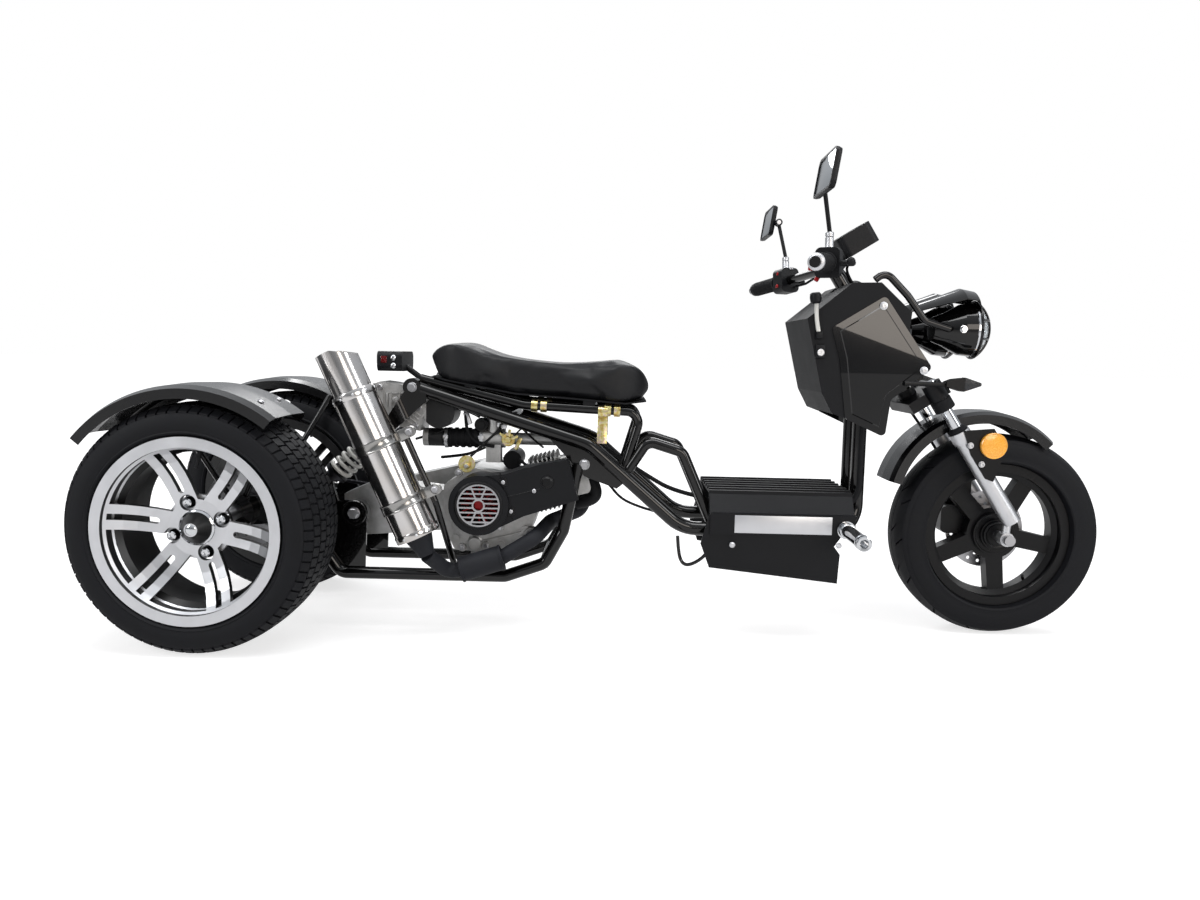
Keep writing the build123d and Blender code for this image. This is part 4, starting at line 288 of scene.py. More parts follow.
def cast_aluminium():
    """Die-cast aluminium left bare: dull silver, sand-like skin, greyer in broad soft clouds."""
    material, tree, surface, place = start_material(
        "die-cast aluminium", linear("#bcbcba"), 0.5, 1.0)
    grain, stain = [
        add_node(tree, NOISE, {"Vector": place["Object"], "Scale": 1000 / across, "Detail": 4,
                               "Roughness": 0.6}).outputs["Fac"] for across in (2.0, 30)]
    add_node(tree, RANGE, {"Value": grain, "To Min": 0.38, "To Max": 0.66}, surface["Roughness"])
    add_node(tree, MIX, {"Factor": stain, "A": (*linear("#8f8f8d"), 1),
                         "B": (*linear("#d6d6d6"), 1)}, surface["Base Color"], data_type="RGBA")
    add_node(tree, BUMP, {"Height": grain, "Distance": 0.0004, "Strength": 0.6},
             surface["Normal"])
    return material


def filter_casting():
    """The air filter: a bare casting behind, its round drum in front moulded in black."""
    material = cast_aluminium()
    material.name = "air filter casting and drum"
    tree = material.node_tree
    surface = next(node for node in tree.nodes if node.type == "BSDF_PRINCIPLED").inputs
    spot = add_node(tree, "ShaderNodeSeparateXYZ", {
        "Vector": add_node(tree, "ShaderNodeTexCoord").outputs["Object"]})
    drum = add_node(tree, MATH, {0: spot.outputs["X"], 1: FILTER_DRUM_X * MM},
                    operation="GREATER_THAN").outputs[0]
    silver = surface["Base Color"].links[0].from_socket
    add_node(tree, MATH, {0: 1.0, 1: drum}, surface["Metallic"], operation="SUBTRACT")
    add_node(tree, MIX, {"Factor": drum, "A": silver, "B": (*linear("#0a0b0e"), 1)},
             surface["Base Color"], data_type="RGBA")
    return material


def bare_metal(name, hex_code, low, high, grain_mm=3, depth=0.00005):
    """A bare metal, ground, brushed or oiled, whose gloss wanders a little."""
    base = linear(hex_code)
    return clouded(name, base, low, (40, 3, 0.5), (low, high), (shaded(base, 0.85), base),
                   (grain_mm, 3, 0.5), (depth, 0.5), metallic=1.0)


def chrome_plate():
    """Chromium plate on steel: a cool mirror."""
    return bare_metal("chromium plate", "#d4d6d9", 0.05, 0.12)


def zinc_plate():
    """Zinc plate passivated yellow: gold that drifts to pink and green."""
    material, tree, surface, place = start_material(
        "yellow zinc plate", linear("#c9b27c"), 0.3, 1.0)
    drift = add_node(tree, NOISE, {"Vector": place["Object"], "Scale": 1000 / 9,
                                   "Detail": 3}).outputs["Fac"]
    ramp = add_node(tree, "ShaderNodeValToRGB", {"Fac": drift}, surface["Base Color"]).color_ramp
    ramp.elements.new(0.5)
    for stop, position, tint in zip(ramp.elements, (0.35, 0.5, 0.65),
                                    ("#c3a05e", "#d2cb8a", "#d8c0b4")):
        stop.position = position
        stop.color = (*linear(tint), 1)
    add_node(tree, RANGE, {"Value": drift, "To Min": 0.22, "To Max": 0.42}, surface["Roughness"])
    return material


def stainless_tube():
    """Polished stainless tube: a mirror with fine draw lines and a faint straw tint."""
    return clouded("polished stainless tube", linear("#cfccc8"), 0.14, (70, 3, 0.5), (0.09, 0.2),
                   (linear("#bdb6ae"), linear("#d6d6d8")), (1.4, 2, 0.5), (0.00002, 0.4),
                   metallic=1.0)


def machined_rim():
    """A cast rim, black in its recesses, its outer faces diamond-turned and lacquered."""
    bright = linear("#dcdde0")
    material, tree, surface, place = start_material("diamond-turned alloy", bright, 0.2, 1.0)
    facing = add_node(tree, "ShaderNodeSeparateXYZ", {"Vector": place["Normal"]})
    spot = add_node(tree, "ShaderNodeSeparateXYZ", {"Vector": place["Object"]})
    outward = add_node(tree, MATH, {0: facing.outputs["Y"], 1: spot.outputs["Y"]},
                       operation="MULTIPLY")
    level = add_node(tree, MATH, {0: outward.outputs[0], 1: RIM_FACING}, operation="GREATER_THAN")
    reach = add_node(tree, MATH, {0: spot.outputs["Y"]}, operation="ABSOLUTE")
    outside = add_node(tree, MATH, {0: reach.outputs[0], 1: RIM_OUTER_Y},
                       operation="GREATER_THAN")
    turned_face = add_node(tree, MATH, {0: level.outputs[0], 1: outside.outputs[0]},
                           surface["Metallic"], operation="MULTIPLY").outputs[0]
    cloud = add_node(tree, NOISE, {"Vector": place["Object"], "Scale": 1000 / 50,
                                   "Detail": 3}).outputs["Fac"]
    silver = add_node(tree, MIX, {"Factor": cloud, "A": (*linear("#c6c7ca"), 1),
                                  "B": (*bright, 1)}, data_type="RGBA")
    add_node(tree, MIX, {"Factor": turned_face, "A": (*linear("#0c0c0d"), 1),
                         "B": silver.outputs["Result"]}, surface["Base Color"], data_type="RGBA")
    add_node(tree, RANGE, {"Value": cloud, "To Min": 0.3, "To Max": 0.42}, surface["Roughness"])
    return material


def heat_paint():
    """Heat-proof silicone paint on the exhaust: flat black with a chalky bloom."""
    base = linear("#131418")
    return clouded("heat-proof black paint", base, 0.6, (35, 4, 0.6), (0.5, 0.75),
                   (base, linear("#212329")), (1.5, 3, 0.5), (0.0002, 0.6),
                   Specular_IOR_Level=0.25)


def lens_plastic(name, colour, roughness=0.06):
    """A clear moulded lens with a slow ripple on its face."""
    material, tree, surface, place = start_material(
        name, colour, roughness, Transmission_Weight=0.75, IOR=1.49)
    ripple = add_node(tree, NOISE, {"Vector": place["Object"], "Scale": 1000 / 12, "Detail": 1})
    add_node(tree, BUMP, {"Height": ripple.outputs["Fac"], "Distance": 0.0002, "Strength": 0.3},
             surface["Normal"])
    return material


def clear_window():
    """Clear polycarbonate over the meter: it shows the dial and a thin highlight."""
    return start_material("clear meter window", (1, 1, 1), 0.02, Transmission_Weight=1.0,
                          IOR=1.3, Specular_IOR_Level=0.3)[0]


def reflector_plastic():
    """A prismatic reflector: saturated amber with small cube corners behind its face."""
    base = colours().amber
    material, tree, surface, place = start_material(
        "prismatic amber acrylic", base, 0.2, Coat_Weight=0.8, Coat_Roughness=0.05)
    cells = add_node(tree, CELLS, {"Vector": place["Object"],
                                   "Scale": 1000 / 3}).outputs["Distance"]
    add_node(tree, MIX, {"Factor": cells, "A": (*base, 1), "B": (*linear("#ffc24a"), 1)},
             surface["Base Color"], data_type="RGBA")
    add_node(tree, BUMP, {"Height": cells, "Distance": 0.0004, "Strength": 0.5},
             surface["Normal"])
    return material


def plain_enamel(name, colour, low=0.2, high=0.4):
    """A plain coat, enamel, lacquer or print, whose gloss wanders."""
    return clouded(name, colour, low, (25, 3, 0.5), (low, high), (shaded(colour, 0.8), colour),
                   Specular_IOR_Level=0.25)


FINISHES = {
    "paint": gloss_paint,
    "panel": panel_gloss,
    "fender": lambda: panel_gloss("buffed black ABS fender", 0.22),
    "plastic": moulded_plastic,
    "shield": lambda: moulded_plastic("moulded black leg shield", 0.55, 0.7),
    "rubber": lambda: moulded_plastic("moulded black rubber", 0.55, 0.75),
    "satin": lambda: plain_enamel("satin black lacquer", linear("#08080a"), 0.28, 0.4),
    "spring": lambda: plain_enamel("white powder coat", linear("#dcdcd8")),
    "fan": lambda: plain_enamel("red moulded nylon", colours().fan),
    "dial": lambda: plain_enamel("matt black dial", linear("#0a0a0b"), 0.5, 0.6),
    "marks": lambda: plain_enamel("white dial print", linear("#e4e4e0"), 0.45, 0.6),
    "vinyl": seat_vinyl,
    "tyre": tyre_rubber,
    "cast": cast_aluminium,
    "filter": filter_casting,
    "chrome": chrome_plate,
    "zinc": zinc_plate,
    "stainless": stainless_tube,
    "brushed": lambda: bare_metal("brushed stainless band", "#a3a2a0", 0.16, 0.26, 3, 0.00001),
    "silver": lambda: bare_metal("clear-anodised aluminium", "#d6d7da", 0.34, 0.46, 1.6),
    "steel": lambda: bare_metal("ground steel", "#b4b4b7", 0.25, 0.42, 1.6),
    "dark_steel": lambda: bare_metal("oiled dark steel", "#3a3a3d", 0.35, 0.55, 1.6),
    "glass": lambda: bare_metal("silvered mirror glass", "#e8ecef", 0.02, 0.05, 30, 0.00001),
    "machined": machined_rim,
    "heat": heat_paint,
    "window": clear_window,
    "lens": lambda: lens_plastic("clear polycarbonate", linear("#e6ebee")),
    "smoke": lambda: lens_plastic("smoked acrylic", linear("#5a5d61")),
    "tail": lambda: lens_plastic("red acrylic lens", linear("#a80d12"), 0.1),
    "amber": reflector_plastic,
}
made_materials = {}


def material_for(name):
    """Each finish is made once."""
    if name not in made_materials:
        made_materials[name] = FINISHES[name]()
    return made_materials[name]


NODE_FINISHES = {
    "paint": ("main_frame", "engine_cradle", "seat_rail", "step_hoops", "swing_arm",
              "lamp_brackets", "lamp_guards", "headlamps", "handlebar", "muffler_stay"),
    "panel": ("fairing_panels",),
    "fender": ("front_fender", "rear_fenders"),
    "shield": ("leg_shield",),
    "plastic": ("floorboard", "side_skirts", "fan_cover", "bar_controls", "mirrors", "instrument",
                "tail_lamp", "seat_pan", "fork_crown", "starter_motor"),
    "satin": ("brake_caliper", "front_rim", "reflector_brackets", "front_signals"),
    "cast": ("crankcase", "cylinder", "belt_case", "gear_case", "carburettor"),
    "chrome": ("foot_pegs", "fork_stanchions"),
    "zinc": ("seat_clamps",),
    "stainless": ("muffler",),
    "silver": ("fork_sliders",),
    "steel": ("axle_pin", "rear_axle", "front_disc", "fan_grille"),
    "dark_steel": ("drive_chain", "drive_sprocket", "shock_bodies"),
    "machined": ("rear_rims",),
    "filter": ("air_filter",),
    "heat": ("exhaust_pipe",),
    "fan": ("cooling_fan",),
    "spring": ("shock_springs",),
    "rubber": ("intake_hose", "bar_grips", "loom_hose", "control_cables"),
    "lens": ("lamp_lenses",),
    "tyre": ("front_tyre", "rear_tyres"),
    "vinyl": ("seat",),
}


# ---- meshes


def shapes(count):
    """Empty shapes, one for each piece that an operator builds."""
    return [bmesh.new() for index in range(count)]


def finish_piece(name, bm, finish, body, smooth_angle=35, replaced=()):
    """Turns a bmesh into a piece of the object: its mesh, finish and body."""
    mesh = bpy.data.meshes.new(name)
    bm.to_mesh(mesh)
    bm.free()
    mesh.polygons.foreach_set("use_smooth", [True] * len(mesh.polygons))
    mesh.set_sharp_from_angle(angle=radians(smooth_angle))
    piece = bpy.data.objects.new(name, mesh)
    bpy.context.scene.collection.objects.link(piece)
    mesh.materials.append(material_for(finish))
    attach(piece, body)
    if replaced:
        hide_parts(*replaced)


def set_at(point, along, across=(0, 0, 1)):
    """A place in millimetres whose Z runs one way and whose X leans towards another."""
    z = Vector(along).normalized()
    x = Vector(across)
    if abs(z.dot(x.normalized())) > 0.95:
        x = Vector((1, 0, 0))
    x = (x - z * x.dot(z)).normalized()
    turn = Matrix((x, z.cross(x), z)).transposed().to_4x4()
    return Matrix.Translation(Vector(point) * MM) @ turn


def join(bm, part):
    """Adds one shape to another."""
    mesh = bpy.data.meshes.new("part")
    part.to_mesh(mesh)
    part.free()
    bm.from_mesh(mesh)
    bpy.data.meshes.remove(mesh)


def add_part(bm, part, place):
    """Sets a small finished shape into a piece."""
    bmesh.ops.remove_doubles(part, verts=part.verts, dist=0.002 * MM)
    part.transform(place)
    bmesh.ops.recalc_face_normals(part, faces=part.faces)
    join(bm, part)


def bevel_edges(part, edges, width, segments):
    """Rounds or chamfers edges by a width in millimetres."""
    bmesh.ops.bevel(part, geom=edges, offset=width * MM, segments=segments, affect="EDGES",
                    profile=0.5, material=-1)


def turned(bm, place, profile, steps=28, closed=False):
    """Spins an outline of (radius, height) in millimetres about a place's Z."""
    part = bmesh.new()
    verts = [part.verts.new((radius * MM, 0, height * MM)) for radius, height in profile]
    edges = [part.edges.new(pair) for pair in zip(verts, verts[1:])]
    if closed:
        edges.append(part.edges.new((verts[-1], verts[0])))
    bmesh.ops.spin(part, geom=verts + edges, cent=(0, 0, 0), axis=(0, 0, 1), angle=2 * pi,
                   steps=steps, use_merge=True, use_duplicate=False)
    add_part(bm, part, place)


def hex_head(bm, place, across, height):
    """A hexagon head with a chamfered top, on its washer."""
    part = bmesh.new()
    radius = across / 2 / cos(pi / 6) * MM
    bmesh.ops.create_cone(part, cap_ends=True, segments=6, radius1=radius, radius2=radius,
                          depth=height * MM)
    bmesh.ops.translate(part, verts=part.verts, vec=(0, 0, (height / 2 + WASHER - 0.1) * MM))
    rim = [edge for edge in part.edges
           if all(vert.co.z > height * 0.9 * MM for vert in edge.verts)]
    bevel_edges(part, rim, across * 0.09, 1)
    add_part(bm, part, place)
    reach = across * 1.3 / 2
    turned(bm, place, [(0, WASHER), (reach - 0.5, WASHER), (reach, 0.8), (reach, 0), (0, 0)])


def socket_head(bm, place, radius, height):
    """A round cap screw with a hexagon socket."""
    turned(bm, place, [(0, height * 0.45), (radius * 0.5, height * 0.45), (radius * 0.52, height),
                       (radius * 0.9, height), (radius, height * 0.85), (radius, 0), (0, 0)])


def dome_head(bm, place, radius, height):
    """A low domed screw or rivet."""
    turned(bm, place, [(0, height), (radius * 0.45, height * 0.93), (radius * 0.8, height * 0.65),
                       (radius, height * 0.2), (radius, 0), (0, 0)], 20)


def block(bm, place, size, bevel, segments=2):
    """A box with rounded edges, centred on a place; sizes in millimetres."""
    part = bmesh.new()
    bmesh.ops.create_cube(part, size=1)
    bmesh.ops.scale(part, verts=part.verts, vec=[length * MM for length in size])
    bevel_edges(part, list(part.edges), bevel, segments)
    add_part(bm, part, place)


def plate(bm, outline, y_low, y_high, bevel=0.6):
    """A flat plate that stands along the vehicle, from its (x, z) outline in millimetres."""
    part = bmesh.new()
    face = part.faces.new([part.verts.new((x * MM, y_low * MM, z * MM)) for x, z in outline])
    made = bmesh.ops.extrude_face_region(part, geom=[face], use_keep_orig=True)
    verts = [item for item in made["geom"] if isinstance(item, bmesh.types.BMVert)]
    bmesh.ops.translate(part, verts=verts, vec=(0, (y_high - y_low) * MM, 0))
    bevel_edges(part, list(part.edges), bevel, 1)
    add_part(bm, part, Matrix())


def hose(bm, points, diameter, sides=3):
    """A round hose, cable or bent rod along the smooth line that its points control."""
    curve = bpy.data.curves.new("route", "CURVE")
    curve.dimensions = "3D"
    curve.resolution_u = 8
    curve.bevel_depth = diameter / 2 * MM
    curve.bevel_resolution = sides
    curve.use_fill_caps = True
    spline = curve.splines.new("NURBS")
    spline.points.add(len(points) - 1)
    for spot, point in zip(spline.points, points):
        spot.co = (*[length * MM for length in point], 1)
    spline.order_u = 3
    spline.use_endpoint_u = True
    holder = bpy.data.objects.new("route", curve)
    mesh = bpy.data.meshes.new_from_object(holder)
    bm.from_mesh(mesh)
    bpy.data.meshes.remove(mesh)
    bpy.data.objects.remove(holder)
    bpy.data.curves.remove(curve)


def lathe(bm, profile, centre, steps):
    """Spins a closed outline of (along the axle, radius) about an axis across the vehicle."""
    ring = [bm.verts.new((centre[0], centre[1] + y, centre[2] + radius)) for y, radius in profile]
    edges = [bm.edges.new(pair) for pair in zip(ring, ring[1:] + ring[:1])]
    bmesh.ops.spin(bm, geom=ring + edges, cent=centre, axis=(0, 1, 0), angle=2 * pi, steps=steps,
                   use_merge=True, use_duplicate=False)
    bmesh.ops.recalc_face_normals(bm, faces=bm.faces)


def tyre_profile(half, bead_half, radius, bead_radius, flange_radius, crown_shares, depth):
    """Half of a tyre's outline from the bead to the crown, its tread at the grooves' floor."""
    wall = radius - flange_radius
    side = [
        (bead_half, bead_radius),
        (bead_half, flange_radius + 0.6 * MM),
        (half * 0.955, flange_radius + wall * 0.06),
        (half * 0.985, flange_radius + wall * 0.12),
        (half * 0.97, flange_radius + wall * 0.16),
        (half * 0.995, flange_radius + wall * 0.3),
        (half * 0.995, flange_radius + wall * 0.42),
        (half * 0.982, flange_radius + wall * 0.58),
        (half * 0.965, flange_radius + wall * 0.66),
        (half * 0.95, flange_radius + wall * 0.7),
    ]
    crown = [(half * share, crown_radius(share, radius, flange_radius) - depth)
             for share in crown_shares]
    return side + crown


def crown_radius(share, radius, flange_radius):
    """The tread's radius at a share of its half width."""
    wall = radius - flange_radius
    points = [(0, 0.998), (0.3, 0.99), (0.62, 0.965), (0.8, 0.915), (0.9, 0.83), (0.95, 0.74)]
    share = min(abs(share), 0.95)
    for (s0, r0), (s1, r1) in zip(points, points[1:]):
        if share <= s1:
            return flange_radius + wall * (r0 + (r1 - r0) * (share - s0) / (s1 - s0))
    return flange_radius + wall * points[-1][1]


def build_tyre(bm, centre, half, bead_half, radius, bead_radius, flange_radius, bands, depth,
               pitches, steps, gap_steps, slant, whole_bands=()):
    """A tyre with real tread blocks: the grooves' floor is turned, then the blocks are raised."""
    shares = sorted({share for band in bands for share in band}, reverse=True)
    right = tyre_profile(half, bead_half, radius, bead_radius, flange_radius, shares, depth)
    left = [(-y, r) for y, r in reversed(right)]
    profile = right + left
    lathe(bm, profile, centre, pitches * steps)
    blocks = []
    for face in bm.faces:
        middle = face.calc_center_median() - Vector(centre)
        share = abs(middle.y) / half
        if middle.xz.length < flange_radius + (radius - flange_radius) * 0.55:
            continue
        band = next((index for index, (low, high) in enumerate(bands) if low < share < high), None)
        if band is None:
            continue
        turn = Vector((middle.x, middle.z)).angle_signed(Vector((1, 0)), 0) % (2 * pi)
        step = int(turn / (2 * pi) * pitches * steps)
        shift = band * (steps // 2)
        if band in whole_bands or (step + shift) % steps >= gap_steps:
            blocks.append(face)
    raised = bmesh.ops.extrude_face_region(bm, geom=blocks)
    for vert in [item for item in raised["geom"] if isinstance(item, bmesh.types.BMVert)]:
        out = Vector((vert.co.x - centre[0], 0, vert.co.z - centre[2])).normalized()
        vert.co += out * depth
    bmesh.ops.delete(bm, geom=blocks, context="FACES")
    for vert in bm.verts:
        share = abs(vert.co.y - centre[1]) / half
        if share < 0.96:
            turn = Matrix.Rotation(slant * share, 4, "Y")
            vert.co = Vector(centre) + turn @ (vert.co - Vector(centre))


# ---- operators


class TRIKE_OT_finishes(bpy.types.Operator):
    """Gives every node of the frame its real finish"""
    bl_idname = "trike.finishes"
    bl_label = "Finishes"

    def execute(self, context):
        for finish, names in NODE_FINISHES.items():
            for name in names:
                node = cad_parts.get(name)
                if node is None:
                    raise RuntimeError("the frame has no node " + name)
                node.data.materials.clear()
                node.data.materials.append(material_for(finish))
        return {"FINISHED"}


class TRIKE_OT_rear_tyres(bpy.types.Operator):
    """Two wide low-profile tyres with ribs of small blocks"""
    bl_idname = "trike.rear_tyres"
    bl_label = "Rear tyres"

    def execute(self, context):
        low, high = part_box("rear_tyres")
        radius = (high.z - low.z) / 2
        half = sizes().rear_tyre_width / 2
        bm = bmesh.new()
        for side in (-1, 1):
            centre = (low.x + radius, side * (high.y - half), low.z + radius)
            part = bmesh.new()
            build_tyre(part, centre, half, 92 * MM, radius, 181 * MM, 195.4 * MM,
                       [(0, 0.1), (0.14, 0.42), (0.48, 0.74), (0.77, 0.94)],
                       sizes().rear_tyre_depth, sizes().rear_pitches, 5, 1, side * 0.05)
            join(bm, part)
        finish_piece("rear_tyre_treads", bm, "tyre", "rear_wheels", 40, ["rear_tyres"])
        return {"FINISHED"}


class TRIKE_OT_front_tyre(bpy.types.Operator):
    """A road tyre with slanted grooves either side of a whole centre rib"""
    bl_idname = "trike.front_tyre"
    bl_label = "Front tyre"

    def execute(self, context):
        low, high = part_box("front_tyre")
        radius = (high.z - low.z) / 2
        half = (high.y - low.y) / 2
        centre = (low.x + radius, 0, low.z + radius)
        bm = bmesh.new()
        build_tyre(bm, centre, half, 35.6 * MM, radius, 155 * MM, 167.4 * MM,
                   [(0, 0.06), (0.1, 0.5), (0.5, 0.9), (0.9, 0.95)],
                   sizes().front_tyre_depth, sizes().front_pitches, 18, 1, 0.2, (0, 3))
        finish_piece("front_tyre_tread", bm, "tyre", "front_wheel", 40, ["front_tyre"])
        return {"FINISHED"}


class TRIKE_OT_seat(bpy.types.Operator):
    """The padded seat: foam that swells a little under its vinyl"""
    bl_idname = "trike.seat"
    bl_label = "Seat"

    def execute(self, context):
        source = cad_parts["seat"]
        mesh = source.data.copy()
        seat = bpy.data.objects.new("seat_cover", mesh)
        context.scene.collection.objects.link(seat)
        bm = bmesh.new()
        bm.from_mesh(mesh)
        bmesh.ops.remove_doubles(bm, verts=bm.verts, dist=0.01 * MM)
        low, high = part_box("seat")
        swell = sizes().seat_swell
        bmesh.ops.scale(bm, verts=bm.verts, space=Matrix.Translation(-(low + high) / 2),
                        vec=[1 - 2 * swell / length for length in high - low])
        bm.to_mesh(mesh)
        bm.free()
        apply_modifier(seat, "REMESH", mode="VOXEL", voxel_size=sizes().seat_voxel)
        apply_modifier(seat, "SMOOTH", factor=0.5, iterations=SEAT_SMOOTHING)
        swell_with_cloth(seat, swell * 1.6)
        apply_modifier(seat, "SUBSURF", levels=1, render_levels=1)
        keep_inside(seat, low, high)
        seat.data.polygons.foreach_set("use_smooth", [True] * len(seat.data.polygons))
        seat.data.materials.clear()
        seat.data.materials.append(material_for("vinyl"))
        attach(seat, "chassis")
        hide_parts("seat")
        return {"FINISHED"}


def apply_modifier(piece, kind, **settings):
    """Adds a modifier, sets it and applies it."""
    modifier = piece.modifiers.new(kind.lower(), kind)
    for name, value in settings.items():
        setattr(modifier, name, value)
    bake_modifier(piece, modifier)


def bake_modifier(piece, modifier):
    """Makes a modifier's result the piece's own mesh."""
    with bpy.context.temp_override(object=piece, active_object=piece, selected_objects=[piece]):
        bpy.ops.object.modifier_apply(modifier=modifier.name)


def swell_with_cloth(piece, cap):
    """Blows the cover up a little, as foam fills it, and holds each point within a cap."""
    rest = [vert.co.copy() for vert in piece.data.vertices]
    cloth = piece.modifiers.new("cloth", "CLOTH")
    cloth.settings.use_pressure = True
    cloth.settings.uniform_pressure_force = 3
    cloth.settings.effector_weights.gravity = 0
    cloth.settings.tension_stiffness = 30
    cloth.settings.bending_stiffness = 4
    cloth.point_cache.frame_start = 1
    cloth.point_cache.frame_end = CLOTH_FRAMES
    scene = bpy.context.scene
    for number in range(1, CLOTH_FRAMES + 1):
        scene.frame_set(number)
    bake_modifier(piece, cloth)
    scene.frame_set(1)
    for vert, start in zip(piece.data.vertices, rest):
        move = vert.co - start
        if move.length > cap:
            vert.co = start + move.normalized() * cap


def keep_inside(piece, low, high):
    """Brings any point that stands out of a box back to its face."""
    for vert in piece.data.vertices:
        for axis in range(3):
            vert.co[axis] = min(max(vert.co[axis], low[axis]), high[axis])


def ring_angles(count, first):
    """Even turns round a ring, in radians, from a first one in degrees."""
    return [radians(first + index * 360 / count) for index in range(count)]


class TRIKE_OT_rear_wheel_trim(bpy.types.Operator):
    """Chrome wheel nuts, the turned centre caps and the valve stems"""
    bl_idname = "trike.rear_wheel_trim"
    bl_label = "Rear wheel trim"

    def execute(self, context):
        nuts, caps, valves = shapes(3)
        for side in (-1, 1):
            out = (0, side, 0)
            for angle in ring_angles(4, 19):
                spot = (REAR_X + 55 * cos(angle), side * RIM_FACE, REAR_Z + 55 * sin(angle))
                turned(nuts, set_at(spot, out), [
                    (0, 14.5), (3.2, 14.5), (3.4, 17.4), (7, 17.8), (9.6, 15.5), (10.2, 12),
                    (13.2, 4), (13.4, 0.4), (0, 0.4)], 18)
            spot = (REAR_X, side * HUB_FACE, REAR_Z)
            turned(caps, set_at(spot, out), [
                (0, 33), (7, 32.4), (11, 30.8), (14.4, 27.4), (17, 23.5), (21, 17.5), (27, 10),
                (32.5, 4.6), (36.4, 2.4), (38, 1.4), (38.4, 0), (0, 0)], 48)
            angle = radians(81)
            for reach, radius in ((171, 5.5), (160, 4.2), (146, 3.6)):
                spot = (REAR_X + reach * cos(angle), side * (338 + (171 - reach) * 0.4),
                        REAR_Z + reach * sin(angle))
                turned(valves, set_at(spot, (-cos(angle), side * 0.4, -sin(angle))), [
                    (0, 15), (radius * 0.8, 15), (radius, 12), (radius, 0), (0, 0)], 14)
        finish_piece("rear_wheel_nuts", nuts, "chrome", "rear_wheels", 30)
        finish_piece("rear_centre_caps", caps, "chrome", "rear_wheels", 50)
        finish_piece("rear_valves", valves, "rubber", "rear_wheels")
        return {"FINISHED"}


class TRIKE_OT_front_wheel_trim(bpy.types.Operator):
    """Stepped hub rings, brake disc bolts and the valve stem"""
    bl_idname = "trike.front_wheel_trim"
    bl_label = "Front wheel trim"

    def execute(self, context):
        rings, bolts = shapes(2)
        for side in (-1, 1):
            place = set_at((FRONT_X, side * 18, FRONT_Z), (0, side, 0))
            turned(rings, place, [(40, 10.6), (45, 11), (46.4, 9.4), (47, 0), (40, 0)], 40, True)
            turned(rings, place, [(24, 26), (29, 27.4), (31.5, 26), (32.4, 10), (24, 10)], 40, True)
        for angle in ring_angles(5, 36):
            spot = (FRONT_X + 33 * cos(angle), 41.6, FRONT_Z + 33 * sin(angle))
            socket_head(bolts, set_at(spot, LEFT), 4.6, 3)
        angle = radians(-54)
        spot = (FRONT_X + 147 * cos(angle), -6, FRONT_Z + 147 * sin(angle))
        hose(rings, [spot, (FRONT_X + 136 * cos(angle), -9, FRONT_Z + 136 * sin(angle)),
                     (FRONT_X + 122 * cos(angle), -26, FRONT_Z + 122 * sin(angle))], 7)
        finish_piece("front_hub_rings", rings, "satin", "front_wheel")
        finish_piece("front_disc_bolts", bolts, "zinc", "front_wheel")
        return {"FINISHED"}


def muffler_place(distance, turn=0.0, reach=0.0):
    """A place on the can: how far up its axis, turned round it, and how far out from it."""
    low, high = Vector(MUFFLER_LOW), Vector(MUFFLER_HIGH)
    axis = (high - low).normalized()
    across = Vector(RIGHT)
    out = Matrix.Rotation(turn, 3, axis) @ across
    return set_at(low + axis * distance + out * reach, axis if reach == 0 else out, axis)


class TRIKE_OT_exhaust_trim(bpy.types.Operator):
    """Brushed bands with bolted ears, the can's end rings, its rivets and the pipe's collars"""
    bl_idname = "trike.exhaust_trim"
    bl_label = "Exhaust trim"

    def execute(self, context):
        bands, rings, rivets, straps, collars = shapes(5)
        low, high = Vector(MUFFLER_LOW), Vector(MUFFLER_HIGH)
        length = (high - low).length
        axis = (high - low).normalized()
        ahead = Vector(LEFT).cross(axis)
        for share in (0.2, 0.6):
            turned(bands, muffler_place(length * share - 1), [
                (48.2, 0), (50.4, 0.6), (50.8, 3), (50.2, 4), (50.2, 20), (50.8, 21), (50.4, 23.4),
                (48.2, 24)], 72, True)
            middle = low + axis * (length * share + 11)
            for y in (-216.4, -207.6):
                face = middle + ahead * 63
                block(bands, set_at((face.x, y, face.z), RIGHT, axis), (24, 30, 2.4), 1.0, 2)
                cap = middle + ahead * 78
                turned(bands, set_at((cap.x, y - 1.2, cap.z), LEFT),
                       [(0, 2.4), (11.2, 2.4), (12, 1.6), (12, 0.8), (11.2, 0), (0, 0)], 24)
            bolt = middle + ahead * 76
            hex_head(straps, set_at((bolt.x, -218, bolt.z), RIGHT), 12, 6)
            turned(straps, set_at((bolt.x, -218, bolt.z), LEFT),
                   [(0, 14), (4, 14), (4, 0), (0, 0)], 12)
        turned(rings, muffler_place(-1), [
            (44, 0), (48.6, 0.6), (49.3, 2.4), (49.3, 15), (48.6, 16.4), (47.3, 16.4)], 72)
        turned(rings, muffler_place(length - 16), [
            (47.3, 0), (48.6, 0), (49.3, 1.6), (49.3, 14), (48.4, 16.6), (43.4, 17.8)], 72)
        for distance in (7, length - 8):
            for index in range(10):
                dome_head(rivets, muffler_place(distance, 2 * pi * index / 10 + 0.2, 49.2), 3, 1.4)
        for point, along in (((-344, -166, 152), (92, 10, 28)), ((-256, -157, 179), (92, 10, 28))):
            turned(collars, set_at(point, along), [
                (26, 0), (29.4, 0.6), (30, 2), (29.4, 5.4), (26, 6)], 40, True)
        finish_piece("muffler_bands", bands, "brushed", "chassis", 40)
        finish_piece("muffler_end_rings", rings, "stainless", "chassis")
        finish_piece("muffler_rivets", rivets, "silver", "chassis", 50)
        finish_piece("exhaust_fixings", straps, "steel", "chassis")
        finish_piece("exhaust_collars", collars, "heat", "chassis")
        return {"FINISHED"}


